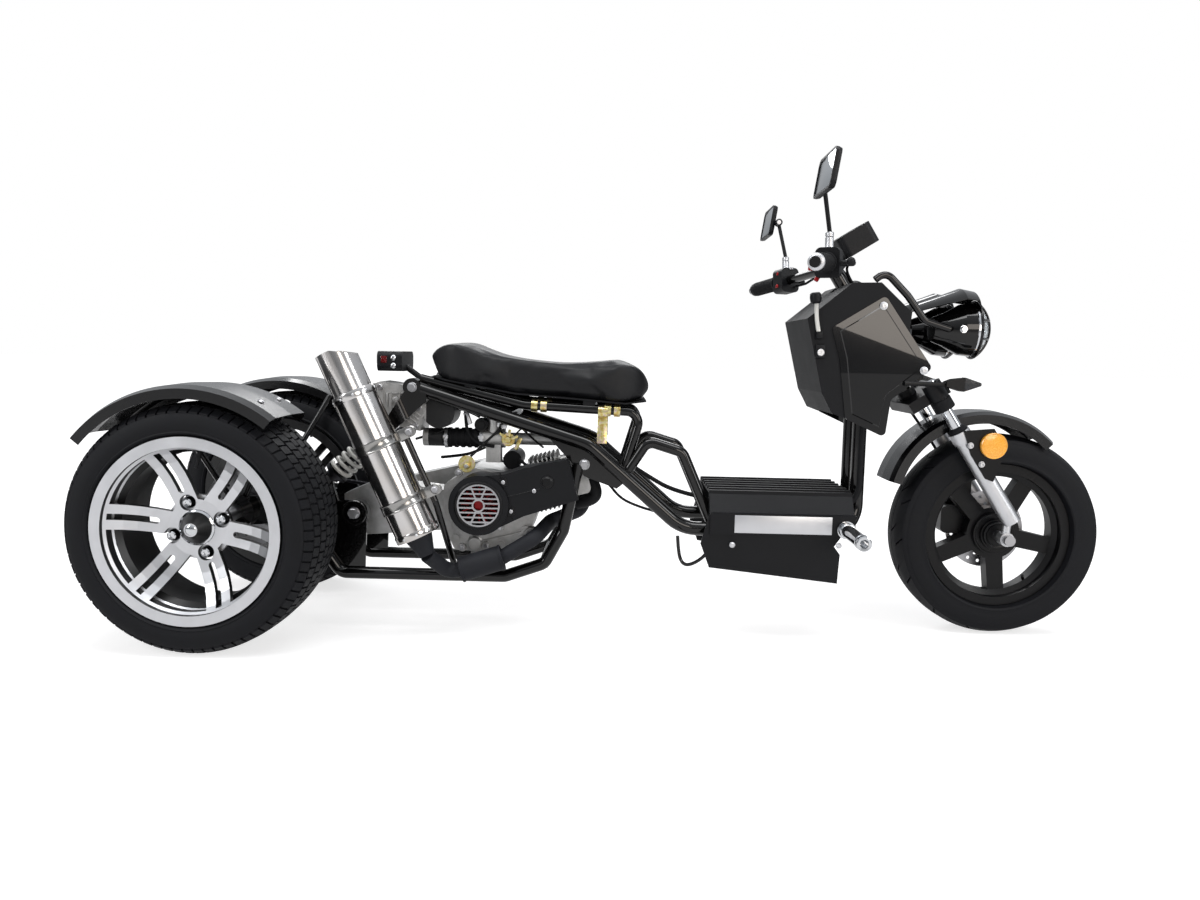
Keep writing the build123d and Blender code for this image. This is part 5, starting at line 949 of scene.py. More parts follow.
class TRIKE_OT_engine_trim(bpy.types.Operator):
    """Shroud seams and screws, the cases' bosses and bolts, the throttle's disc"""
    bl_idname = "trike.engine_trim"
    bl_label = "Engine trim"

    def execute(self, context):
        seam, screws, cases, zinc = shapes(4)
        for x0, z0, x1, z1, width in ((-257, 372, -229, 268, 2.4), (-243, 318, -168, 338, 2)):
            run = Vector((x1 - x0, 0, z1 - z0))
            place = set_at(((x0 + x1) / 2, SHROUD_FACE - 0.2, (z0 + z1) / 2), RIGHT, run)
            block(seam, place, (run.length, width, 2.2), 0.8, 1)
        for x, z in ((-250, 351), (-232, 286)):
            block(seam, set_at((x, SHROUD_FACE - 0.2, z), RIGHT, (-1, 0, 3.7)), (17, 17, 3), 1.4, 2)
            dome_head(screws, set_at((x, SHROUD_FACE - 1.6, z), RIGHT), 4.6, 2)
        turned(seam, set_at((-152, SHROUD_FACE, 354), RIGHT), [
            (0, 6), (9, 6), (10.6, 4.6), (13, 3), (13.6, 0), (0, 0)], 32)
        turned(seam, set_at((CRANK_X, -170.2, CRANK_Z), RIGHT), [
            (48.2, 0), (49, 1.8), (52, 2.6), (54.4, 1.2), (54.8, 0)], 64, True)
        dome_head(screws, set_at((-181, SHROUD_FACE, 333), RIGHT), 4.8, 2.2)
        for x, z in ((-265, 236), (-297, 192), (-352, 187), (-361, 361)):
            turned(cases, set_at((x, CRANKCASE_FACE, z), RIGHT), [
                (0, 6), (8.6, 6), (9.6, 4), (10, 0), (0, 0)], 24)
            hex_head(screws, set_at((x, CRANKCASE_FACE - 6, z), RIGHT), 10, 6)
        turned(cases, set_at((-323, CRANKCASE_FACE, 199), RIGHT), [
            (0, 16), (12.5, 16), (14, 14.5), (14, 4), (17, 2), (17.4, 0), (0, 0)], 32)
        turned(cases, set_at((-193, CRANKCASE_FACE, 222), RIGHT), [
            (0, 9), (15, 9), (16.4, 7.6), (18.6, 2), (19, 0), (0, 0)], 36)
        hex_head(screws, set_at((-193, CRANKCASE_FACE - 9, 222), RIGHT), 17, 8)
        block(cases, set_at((-262, CRANKCASE_FACE - 3, 214), RIGHT, (1, 0, 0.25)),
              (110, 3, 5), 1.2, 2)
        turned(zinc, set_at((-343, CRANKCASE_FACE - 1, 381), RIGHT), [
            (0, 2), (19, 2), (19.8, 1.2), (19.8, 0.4), (19, 0), (0, 0)], 36)
        hex_head(zinc, set_at((-343, CRANKCASE_FACE - 3, 377), RIGHT), 13, 8)
        hex_head(cases, set_at((-343, CRANKCASE_FACE - 11, 377), RIGHT), 8, 3)
        self.left_side(seam, screws, cases)
        finish_piece("shroud_seams", seam, "satin", "chassis")
        finish_piece("engine_screws", screws, "steel", "chassis")
        finish_piece("crankcase_bosses", cases, "cast", "chassis")
        finish_piece("throttle_lever_disc", zinc, "zinc", "chassis")
        return {"FINISHED"}

    def left_side(self, seam, screws, cases):
        """The belt case's rim bolts and boss rings, on the side away from the photograph."""
        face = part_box("belt_case")[1].y / MM - 10
        for x, z, radius, first in ((CRANK_X, CRANK_Z, 76, -70), (-498, PIVOT_Z, 62, 110)):
            for angle in ring_angles(8, first)[:4]:
                spot = (x + (radius - 9) * cos(angle), face, z + (radius - 9) * sin(angle))
                turned(cases, set_at(spot, LEFT), [(0, 3), (7, 3), (8, 2), (8, 0), (0, 0)], 20)
                hex_head(screws, set_at((spot[0], face + 3, spot[2]), LEFT), 9, 5)
            turned(cases, set_at((x, face + 10, z), LEFT), [
                (radius * 0.5, 0), (radius * 0.52, 2), (radius * 0.6, 2), (radius * 0.62, 0)],
                48, True)
            for angle in ring_angles(12, 15):
                spot = (x + radius * 0.28 * cos(angle), face + 10, z + radius * 0.28 * sin(angle))
                block(seam, set_at(spot, LEFT, (cos(angle), 0, sin(angle))),
                      (radius * 0.34, 3, 3), 0.8, 1)


class TRIKE_OT_intake_trim(bpy.types.Operator):
    """The carburettor's linkage, cables, hoses, clamps and caps, and the filter's face"""
    bl_idname = "trike.intake_trim"
    bl_label = "Intake trim"

    def execute(self, context):
        zinc, black, bright, rubber = shapes(4)
        turned(zinc, set_at((CARBURETTOR_X, -72, CARBURETTOR_Z), RIGHT, (1, 0, 1)), [
            (0, 4), (15, 4), (16, 3), (16, 1), (15, 0), (0, 0)], 32)
        turned(zinc, set_at((CARBURETTOR_X, -78, CARBURETTOR_Z), RIGHT), [
            (0, 9), (7, 9), (8, 7), (8, 0), (0, 0)], 20)
        for turn in (20, 80, 140):
            angle = radians(turn)
            spoke = Vector((cos(angle), 0, sin(angle)))
            spot = Vector((CARBURETTOR_X, -79, CARBURETTOR_Z)) + spoke * 14
            block(zinc, set_at(spot, RIGHT, spoke), (20, 7, 3), 1, 2)
        block(zinc, set_at((-228, -66, 428), RIGHT, (0.4, 0, 1)), (30, 9, 3), 1, 2)
        block(bright, set_at((-265, -66, 470), RIGHT, (0.3, 0, 1)), (13, 22, 14), 2, 2)
        hose(black, [(-267, -66, 465), (-300, -66, 433), (-335, -84, 398)], 6)
        hose(black, [(-258, -74, 446), (-272, -84, 462), (-262, -92, 480), (-225, -90, 474),
                     (-196, -80, 444), (-170, -60, 420)], 5)
        hose(black, [(-236, -74, 446), (-222, -84, 466), (-198, -70, 470), (-160, -40, 450)], 4)
        hose(rubber, [(-352, -60, 508), (-350, -64, 480), (-346, -70, 456), (-334, -72, 436),
                      (-310, -70, 424), (-284, -62, 420)], 8)
        hose(rubber, [(-225, -58, 392), (-205, -66, 372), (-190, -60, 380), (-150, -52, 398)], 7)
        hose(black, [(-395, -60, 460), (-420, -66, 446), (-446, -60, 440), (-470, -40, 432)], 6)
        hose(black, [(-300, -40, 420), (-330, -60, 404), (-372, -62, 396), (-410, -40, 390)], 7)
        for x in (-400, -318):
            turned(bright, set_at((x, -46, 437), AHEAD), [
                (22.6, 0), (23.6, 0.3), (23.6, 7.7), (22.6, 8)], 40, True)
            block(bright, set_at((x + 4, -69.6, 441), RIGHT), (8, 12, 6), 1, 2)
        block(bright, set_at((-352, -56, 512), RIGHT, (0.5, 0, 1)), (26, 10, 12), 2, 2)
        block(black, set_at((-300, -30, 474), RIGHT, (1, 0, 0.6)), (52, 30, 34), 5, 3)
        turned(black, set_at((-314, -44, 470), RIGHT), [
            (0, 26), (9, 26), (10, 24), (14, 24), (16, 21), (16, 8), (14, 6), (14, 0), (0, 0)], 32)
        block(bright, set_at((-346, -60, 484), RIGHT, (11, 0, -30)), (30, 12, 12), 2, 2)
        hose(black, [(-322, -34, 486), (-345, -44, 500), (-372, -40, 505)], 7)
        self.filter_face()
        finish_piece("carburettor_linkage", zinc, "zinc", "chassis")
        finish_piece("intake_cables", black, "satin", "chassis")
        finish_piece("intake_fittings", bright, "silver", "chassis")
        finish_piece("fuel_hoses", rubber, "rubber", "chassis")
        return {"FINISHED"}

    def filter_face(self):
        """Fins, a raised window and screws cast on the air filter's outer face."""
        cast, screws = shapes(2)
        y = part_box("air_filter")[0].y / MM + 4
        along = Vector((1, 0, -0.7)).normalized()
        step = Vector((0.7, 0, 1)).normalized() * 9
        for index in range(4):
            spot = Vector((-476, y, 476)) + step * index
            block(cast, set_at(spot, RIGHT, along), (38 - 3 * index, 3.2, 8), 1.2, 2)
        for x, z, wide, high in ((-505, 540, 38, 3), (-505, 508, 38, 3), (-524, 524, 3, 34),
                                 (-486, 524, 3, 34)):
            block(cast, set_at((x, y, z), RIGHT, AHEAD), (wide, high, 8), 1, 2)
        turned(cast, set_at((-505, y + 2, 524), RIGHT), [
            (0, 5), (7, 5), (9, 4), (10, 0), (0, 0)], 32)
        for x, z in ((-541, 553), (-477, 547), (-452, 508), (-460, 466), (-512, 477)):
            turned(cast, set_at((x, y + 2, z), RIGHT), [(0, 6), (6, 6), (7, 4), (7, 0), (0, 0)], 24)
            socket_head(screws, set_at((x, y - 4, z), RIGHT), 7, 4)
        finish_piece("filter_fins", cast, "cast", "chassis")
        finish_piece("filter_screws", screws, "steel", "chassis")


class TRIKE_OT_chain(bpy.types.Operator):
    """The roller chain, link by link, round the rear axle's sprocket and the drive sprocket"""
    bl_idname = "trike.chain"
    bl_label = "Drive chain"

    def execute(self, context):
        plates, rollers = shapes(2)
        low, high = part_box("drive_chain")
        middle = (low.y + high.y) / 2 / MM
        rear, front = Vector((REAR_X, middle, REAR_Z)), Vector((PIVOT_X, middle, PIVOT_Z))
        reach = front - rear
        slope = atan2(reach.z, reach.x)
        wrap = acos((CHAIN_REAR - CHAIN_FRONT) / reach.length)
        line = [rear + Vector((cos(turn), 0, sin(turn))) * CHAIN_REAR
                for turn in span(slope + wrap, slope + 2 * pi - wrap, 90)]
        line += [front + Vector((cos(turn), 0, sin(turn))) * CHAIN_FRONT
                 for turn in span(slope - wrap, slope + wrap, 60)]
        spots = spots_along(line + line[:1], CHAIN_PITCH)
        for index, (spot, run) in enumerate(spots):
            out = 4.6 if index % 2 else 3.2
            for side in (-1, 1):
                block(plates, set_at(spot + Vector((0, side * out, 0)), (0, side, 0), run),
                      (15.5, 7.2, 1.2), 0.5, 1)
            turned(rollers, set_at(spot + run * CHAIN_PITCH / 2 - Vector((0, 3, 0)), LEFT), [
                (0, 6), (3, 6), (3, 0), (0, 0)], 10)
        finish_piece("chain_plates", plates, "dark_steel", "chassis",
                     replaced=["drive_chain"])
        finish_piece("chain_rollers", rollers, "steel", "chassis")
        return {"FINISHED"}


def span(first, last, steps):
    """Even steps from one value to another."""
    return [first + (last - first) * index / steps for index in range(steps + 1)]


def spots_along(points, pitch):
    """Places with their directions, about a pitch apart, along a closed line of points."""
    runs = [(b - a).length for a, b in zip(points, points[1:])]
    count = 2 * round(sum(runs) / pitch / 2)
    step = sum(runs) / count
    spots, passed, due = [], 0, 0
    for start, end, run in zip(points, points[1:], runs):
        while len(spots) < count and run and due <= passed + run:
            spots.append((start.lerp(end, (due - passed) / run), (end - start).normalized()))
            due += step
        passed += run
    return spots


class TRIKE_OT_frame_trim(bpy.types.Operator):
    """Frame bolts, pivot rings, the seat's zinc straps, fender screws, cables and the loom"""
    bl_idname = "trike.frame_trim"
    bl_label = "Frame trim"

    def execute(self, context):
        bright, zinc, black, dark, rings = shapes(5)
        for side in (-1, 1):
            out = (0, side, 0)
            turned(rings, set_at((PIVOT_X, side * 117, PIVOT_Z), out), [
                (15, 0), (16, 5), (19, 5), (20, 2), (24, 2), (25, 6), (28, 6), (29, 4), (29, 0)],
                48, True)
            hex_head(bright, set_at((-72, side * 113.4, 389), out), 19, 9)
            hex_head(bright, set_at((-461, side * 127, 556), out), 17, 8)
            hex_head(bright, set_at((PIVOT_X, side * 118, PIVOT_Z), out), 22, 10)
            hex_head(bright, set_at((-668, side * 130, 330), out), 15, 8)
            hex_head(bright, set_at((-528, side * 130, 452), out), 15, 8)
            upper, lower = Vector((-33, side * 95, 500)), Vector((-34, side * 113, 437))
            face = (lower - upper).cross(Vector((side, 0, 0)))
            block(zinc, set_at((upper + lower) / 2, face, lower - upper),
                  ((lower - upper).length, 22, 2.4), 1, 2)
            turned(zinc, set_at(upper - Vector((11, 0, -8)), AHEAD), [
                (12, 0), (15, 0.4), (15, 21.6), (12, 22)], 32, True)
            hex_head(zinc, set_at(lower + Vector((0, side * 1.2, 12)), face), 10, 5)
            for angle in (62, 118):
                turn = radians(angle)
                for y in (216, 316):
                    spot = (REAR_X + FENDER_RADIUS * cos(turn), side * y,
                            REAR_Z + FENDER_RADIUS * sin(turn))
                    dome_head(bright, set_at(spot, (cos(turn), 0, sin(turn))), 7, 4)
        hose(black, [(-40, -96, 366), (-17, -97, 345), (11, -98, 311), (53, -98, 293),
                     (96, -99, 282), (140, -104, 268)], 6)
        hose(black, [(-60, -60, 350), (-43, -64, 325), (-52, -62, 300), (-90, -50, 290)], 30, 4)
        hose(dark, [(-420, 60, 530), (-340, 82, 512), (-200, 88, 470), (-60, 90, 430),
                    (60, 70, 352), (160, 40, 300), (300, 30, 286)], 11)
        hose(dark, [(-440, -58, 536), (-330, -80, 502), (-210, -86, 466), (-90, -88, 430)], 8)
        finish_piece("pivot_rings", rings, "paint", "chassis")
        finish_piece("frame_bolts", bright, "steel", "chassis")
        finish_piece("seat_straps", zinc, "zinc", "chassis")
        finish_piece("frame_cables", black, "rubber", "chassis")
        finish_piece("wiring_loom", dark, "rubber", "chassis")
        return {"FINISHED"}


class TRIKE_OT_fairing_trim(bpy.types.Operator):
    """Panel screws with washers, the fuel knob, its tube and the lock on the leg shield"""
    bl_idname = "trike.fairing_trim"
    bl_label = "Fairing trim"

    def execute(self, context):
        bright, black, tube = shapes(3)
        for side in (-1, 1):
            out = (0, side, 0)
            for x, z in ((576, 756), (671, 617)):
                turned(bright, set_at((x, side * FAIRING_FACE, z), out), [
                    (0, 1.6), (7.6, 1.6), (8.8, 0.8), (8.8, 0), (0, 0)], 28)
                socket_head(bright, set_at((x, side * (FAIRING_FACE + 1.4), z), out), 4.6, 3.4)
        turned(black, set_at((428, SHIELD_FACE, 758), (-0.1, 0, 1)), [
            (0, 24), (9, 24), (12, 21), (13, 12), (12, 4), (8, 0), (0, 0)], 12)
        hose(tube, [(429, SHIELD_FACE, 760), (430, SHIELD_FACE, 736), (433, SHIELD_FACE, 712),
                    (438, SHIELD_FACE, 690)], 9)
        block(black, set_at((438, SHIELD_FACE, 690), RIGHT), (16, 14, 10), 2, 2)
        block(black, set_at((443, SHIELD_FACE + 3, 654), RIGHT), (30, 22, 8), 3, 3)
        turned(bright, set_at((443, SHIELD_FACE, 652), RIGHT), [
            (0, 3), (2, 3), (2.4, 4.2), (7, 4.2), (8, 3), (8, 0), (0, 0)], 24)
        finish_piece("fairing_screws", bright, "silver", "chassis")
        finish_piece("shield_switches", black, "plastic", "chassis")
        finish_piece("shield_tube", tube, "marks", "chassis")
        return {"FINISHED"}


class TRIKE_OT_lamp_trim(bpy.types.Operator):
    """The lamps' bowls, bulbs and bolts, the signals' smoked lenses, the tail lamp's lens"""
    bl_idname = "trike.lamp_trim"
    bl_label = "Lamp trim"

    def execute(self, context):
        bowl, bright, smoke, red = shapes(4)
        for side in (-1, 1):
            spot = (LAMP_X, side * LAMP_Y, LAMP_Z)
            turned(bowl, set_at(spot, AHEAD), [
                (55.6, -1.2), (53, -8), (46, -22), (38.6, -34), (26, -49), (18.6, -58), (9, -62),
                (0, -63)], 48)
            turned(bright, set_at(spot, AHEAD), [
                (0, -18), (4.6, -19), (6.6, -23), (6.8, -40), (9, -46), (9, -56), (0, -56)], 20)
            turned(bright, set_at(spot, AHEAD), [
                (56.4, 0.6), (59, 1.4), (60.6, 0), (60.6, -7), (59.4, -8), (56.4, -2)], 56, True)
            outside = (LAMP_X - 41, side * (LAMP_Y + 60), LAMP_Z)
            hex_head(bright, set_at(outside, (0, side, 0)), 13, 6)
            y = side * 143.3
            plate(smoke, [(754, 572.2), (793, 586), (793, 592.6), (757, 604.4)],
                  y - 13.5, y + 13.5, 1.5)
        low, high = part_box("tail_lamp")
        face = low.x / MM
        block(red, set_at((face + 3, 0, TAIL_Z), (-1, 0, 0)), (35, 108, 5), 2, 2)
        for side in (-1, 1):
            edge = (low.y if side < 0 else high.y) / MM
            out = (0, side, 0)
            block(red, set_at((face + 16, edge, TAIL_Z + 4), out, AHEAD), (14, 16, 4), 1.5, 2)
            for rise in (8, -10):
                dome_head(bright, set_at((face + 38, edge, TAIL_Z + rise), out), 7, 4)
        finish_piece("lamp_bowls", bowl, "chrome", "chassis", 50)
        finish_piece("lamp_bulbs", bright, "chrome", "chassis", 40)
        finish_piece("signal_lenses", smoke, "smoke", "chassis")
        finish_piece("tail_lens", red, "tail", "chassis")
        return {"FINISHED"}


def leg_place(distance, side, ahead=0.0, out=0.0):
    """A point of a fork leg, counted up the leg from the steering head."""
    ahead += FORK_LEG_AHEAD
    return Vector((FORK_FOOT_X - distance * sin(FORK_RAKE) + ahead * cos(FORK_RAKE),
                   side * (FORK_LEG_Y + out),
                   FORK_FOOT_Z + distance * cos(FORK_RAKE) + ahead * sin(FORK_RAKE)))


class TRIKE_OT_fork_trim(bpy.types.Operator):
    """Dust seals, the sliders' collars and bolts, the round reflectors and the brake hose"""
    bl_idname = "trike.fork_trim"
    bl_label = "Fork trim"

    def execute(self, context):
        seals, bolts, amber, rims, hoses = shapes(5)
        up = Vector((-sin(FORK_RAKE), 0, cos(FORK_RAKE)))
        for side in (-1, 1):
            out = (0, side, 0)
            turned(seals, set_at(leg_place(-100, side), up), [
                (14, 0), (21.6, 0), (21.6, 4), (18, 9), (15.4, 12), (14, 12)], 36, True)
            turned(bolts, set_at(leg_place(-100, side), up), [
                (15, -28), (23, -28), (23.8, -26), (23.8, -2), (23, -0.4), (15, -0.4)], 40, True)
            turned(seals, set_at(leg_place(-15, side), up), [
                (14, -26), (23.2, -26), (23.6, -24), (23.6, -2), (23.2, 0), (14, 0)], 36, True)
            for step in (-25, 25):
                spot = leg_place(-160 + step, side, 0, 27.4)
                turned(bolts, set_at(spot, out), [(0, 1.2), (7, 1.2), (7.4, 0), (0, 0)], 20)
                socket_head(bolts, set_at(spot + Vector((0, side, 0)), out), 5.4, 5)
            hex_head(bolts, set_at(leg_place(-342, side), -up), 12, 4)
            centre = (REFLECTOR_X, side * 113, REFLECTOR_Z)
            turned(amber, set_at(centre, out), [
                (0, 10), (14, 9.8), (23, 9.2), (26.4, 8.4), (26.4, 7.1), (0, 7.1)], 48)
            turned(rims, set_at(centre, out), [
                (28.2, 0), (29.2, 0.6), (29.2, 8.6), (27.8, 9.8), (26.2, 8.8), (26.2, 7.5),
                (28.2, 7.5)], 48, True)
        caliper_low, caliper_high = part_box("brake_caliper")
        top = caliper_high.z / MM
        x = (caliper_low.x + caliper_high.x) / 2 / MM
        hose(hoses, [(x, 60, top - 8), (x - 6, 62, top + 14), (806, 64, 372), (776, 62, 430),
                     (730, 60, 490), (700, 60, 530)], 7)
        finish_piece("fork_seals", seals, "rubber", "steering")
        finish_piece("fork_bolts", bolts, "silver", "steering")
        finish_piece("reflector_discs", amber, "amber", "steering", 30)
        finish_piece("reflector_rims", rims, "amber", "steering")
        finish_piece("brake_hose", hoses, "rubber", "steering")
        return {"FINISHED"}


def bar_place(distance, side):
    """A point along a bar's straight arm, and the arm's direction outwards."""
    flip = Vector((1, side, 1))
    foot = Vector(BAR_FOOT) * flip
    run = (Vector(BAR_TIP) * flip - foot).normalized()
    return foot + run * distance, run


class TRIKE_OT_bar_trim(bpy.types.Operator):
    """Grip ribs, end weights, red switches, lever pivots, the mirrors' glass, the dial"""
    bl_idname = "trike.bar_trim"
    bl_label = "Handlebar trim"

    def execute(self, context):
        ribs, ends, reds, pivots, glass, sockets = shapes(6)
        facing = Vector((-1, 0, 0.15)).normalized()
        for side in (-1, 1):
            spot, run = bar_place(232, side)
            place = set_at(spot, run)
            profile = [(16.6, 6), (18.4, 7)]
            for index in range(17):
                start = 12 + index * 5.6
                profile += [(18.4, start), (17.1, start + 1), (17.1, start + 2.6),
                            (18.4, start + 3.6)]
            profile += [(18.4, 111), (16.6, 113)]
            turned(ribs, place, profile, 36, True)
            turned(ribs, place, [(17, 0), (20.6, 0.6), (21.4, 2.4), (20.6, 5), (17, 6)], 36, True)
            tip, run = bar_place(353.4, side)
            turned(ends, set_at(tip, run), [
                (0, 9), (3, 9), (3.4, 7.4), (9, 7.4), (13, 6.6), (16.4, 4), (17.2, 0), (0, 0)], 36)
            control, run = bar_place(190, side)
            back = Vector((-0.86, 0, 0.1))
            face = control + back * 29
            block(reds, set_at(face + Vector((0, 0, -18)), back, run), (14, 9, 9), 2, 2)
            block(reds, set_at(face + Vector((0, 0, 14)), back, run), (9, 9, 7), 2, 2)
            if side < 0:
                block(reds, set_at(control + Vector((-34, 0, -13)), back, run), (9, 9, 18), 2, 2)
                block(reds, set_at(control + Vector((-24, 0, -33)), (-0.5, 0, -0.86), run),
                      (9, 9, 12), 2, 2)
            turned(pivots, set_at(control + Vector((6, -side * 10, 28)), (0, 0, 1)), [
                (0, 5), (6, 5), (7, 4), (7, 0), (0, 0)], 20)
            head = Vector((395.6, side * 346.6, 995))
            block(glass, set_at(head + facing * 4.8, facing, LEFT), (139, 67, 1.8), 0.6, 2)
            base = Vector((427.6, side * 246.6, 867))
            rise = Vector((-0.031, side * 0.0804, 0.9925))
            turned(sockets, set_at(base, rise), [
                (0, 30.6), (7, 30.6), (8.6, 29), (8.6, 22), (7.6, 21), (8.6, 20), (8.6, 2),
                (9.4, 0), (0, 0)], 24)
            joint = Vector((407.6, side * 266.6, 987))
            turned(sockets, set_at(joint + Vector((0, -12.4, 0)), LEFT), [
                (0, 24.8), (5, 24.8), (6, 23.6), (6, 1.2), (5, 0), (0, 0)], 24)
        finish_piece("mirror_glass", glass, "glass", "steering")
        finish_piece("mirror_sockets", sockets, "silver", "steering")
        self.dial()
        finish_piece("grip_ribs", ribs, "rubber", "steering", 30)
        finish_piece("bar_ends", ends, "silver", "steering")
        finish_piece("bar_switches", reds, "fan", "steering")
        finish_piece("lever_pivots", pivots, "steel", "steering")
        return {"FINISHED"}

    def dial(self):
        """The meter's face: a round scale with plain marks, a needle and a clear cover."""
        up = Vector((-sin(METER_TILT), 0, cos(METER_TILT)))
        along = Vector((cos(METER_TILT), 0, sin(METER_TILT)))
        middle = Vector(METER_PLACE)
        face, marks, needle, cover = shapes(4)
        block(face, set_at(middle + up * 20.4, up, along), (71, 95, 1), 0.4, 1)
        turned(face, set_at(middle + up * 20.8, up), [
            (27, 0), (27.6, 2), (29.4, 2), (30, 0)], 56, True)
        for angle in ring_angles(36, 0)[:28]:
            turn = angle - radians(45)
            out = along * cos(turn) + Vector(LEFT) * sin(turn)
            length = 5 if round(angle * 18 / pi) % 3 == 0 else 2.6
            block(marks, set_at(middle + up * 21.1 + out * (25.4 - length / 2), up, out),
                  (length, 0.8, 0.4), 0.1, 1)
        tip = middle + up * 21.8 - along * 8 + Vector((0, -6, 0))
        block(needle, set_at(tip, up, (-0.8, -0.6, 0)), (26, 1.2, 0.6), 0.2, 1)
        turned(needle, set_at(middle + up * 21, up), [(0, 2), (3.4, 2), (4, 1), (4, 0), (0, 0)], 20)
        block(cover, set_at(middle + up * 24, up, along), (71, 95, 1.2), 0.4, 1)
        finish_piece("dial_face", face, "dial", "steering")
        finish_piece("dial_marks", marks, "marks", "steering")
        finish_piece("dial_needle", needle, "fan", "steering")
        finish_piece("dial_cover", cover, "window", "steering")


class TRIKE_OT_deck_trim(bpy.types.Operator):
    """Side plates without lettering, skirt bolts, peg collars and the lower rod loop"""
    bl_idname = "trike.deck_trim"
    bl_label = "Deck trim"

    def execute(self, context):
        plates, bolts, rods, pegs = shapes(4)
        for side in (-1, 1):
            out = (0, side, 0)
            block(plates, set_at((374, side * SKIRT_FACE, 269), out, AHEAD), (216, 40, 1.6), 0.7, 2)
            for x, z in ((262, 222), (498, 226)):
                hex_head(bolts, set_at((x, side * (SKIRT_FACE + 2), z), out), 10, 5)
            turned(pegs, set_at((PEG_X, side * 300, PEG_Z), out), [
                (9.4, 16), (13.8, 16.4), (16.2, 15), (16.4, 6), (15.2, 4)], 32)
            for reach in (176, 296):
                turned(pegs, set_at((PEG_X, side * reach, PEG_Z), out), [
                    (15, 0), (16.6, 0.8), (16.6, 3.2), (15, 4)], 32, True)
        hose(rods, [(141, -148, 237), (143, -149, 205), (150, -150, 178), (165, -150, 170),
                    (190, -150, 182), (208, -150, 200), (224, -148, 228)], 8)
        finish_piece("side_plates", plates, "silver", "chassis")
        finish_piece("skirt_bolts", bolts, "silver", "chassis")
        finish_piece("rod_loop", rods, "paint", "chassis")
        finish_piece("peg_collars", pegs, "chrome", "chassis")
        return {"FINISHED"}


class TRIKE_OT_stage(bpy.types.Operator):
    """A pale floor, a white surround, soft studio lamps and the camera"""
    bl_idname = "trike.stage"
    bl_label = "Stage"

    def execute(self, context):
        scene = context.scene
        bm = bmesh.new()
        bmesh.ops.create_grid(bm, x_segments=1, y_segments=1, size=40)
        mesh = bpy.data.meshes.new("floor")
        bm.to_mesh(mesh)
        bm.free()
        floor = bpy.data.objects.new("floor", mesh)
        scene.collection.objects.link(floor)
        mesh.materials.append(studio_floor())
        light_world(scene)
        add_lamp("overhead lamp", (0.1, -0.9, 3.3), (0, 0, 0.4), 3.2, 1.1, 62)
        add_lamp("left lamp", (-3.0, -2.4, 1.9), (-0.6, 0, 0.4), 0.7, 2.2, 46)
        add_lamp("right lamp", (3.2, -2.0, 1.9), (0.5, 0, 0.4), 0.7, 2.2, 40)
        add_lamp("back lamp", (-0.3, 3.0, 2.6), (0, 0, 0.4), 3.0, 1.0, 60)
        add_lamp("front lamp", (1.75, -4.0, 1.5), (0.57, -0.14, 0.7), 1.7, 1.5, 34,
                 roll=-0.36, colour=(1, 0.91, 0.82))
        add_camera(scene)
        return {"FINISHED"}


def studio_floor():
    """Matt white studio vinyl: it keeps the shadow and shows as white to lens and mirror."""
    material = bpy.data.materials.new("white studio floor")
    material.use_nodes = True
    tree = material.node_tree
    tree.nodes.clear()
    ray = add_node(tree, "ShaderNodeLightPath")
    seen = add_node(tree, MATH, {0: ray.outputs["Is Camera Ray"],
                                 1: ray.outputs["Is Transmission Ray"]}, operation="MAXIMUM")
    matt = add_node(tree, "ShaderNodeBsdfDiffuse", {"Color": (0.55, 0.55, 0.56, 1)})
    place = add_node(tree, "ShaderNodeTexCoord")
    reach = add_node(tree, "ShaderNodeVectorMath", {0: place.outputs["Object"]}, operation="LENGTH")
    glow_out = add_node(tree, RANGE, {"Value": reach.outputs["Value"], "From Min": 1.4,
                                      "From Max": 5.0, "To Min": 0.7, "To Max": 1.0})
    straight = add_node(tree, MATH, {0: seen.outputs[0], 1: glow_out.outputs["Result"]},
                        operation="MULTIPLY")
    mirrored = add_node(tree, MATH, {0: ray.outputs["Is Glossy Ray"], 1: 0.36,
                                     2: straight.outputs[0]}, operation="MULTIPLY_ADD")
    glow = add_node(tree, "ShaderNodeEmission", {"Color": (1, 1, 1, 1),
                                                 "Strength": mirrored.outputs[0]})
    both = add_node(tree, "ShaderNodeAddShader", {0: matt.outputs[0], 1: glow.outputs[0]})
    add_node(tree, "ShaderNodeOutputMaterial", {"Surface": both.outputs[0]})
    return material


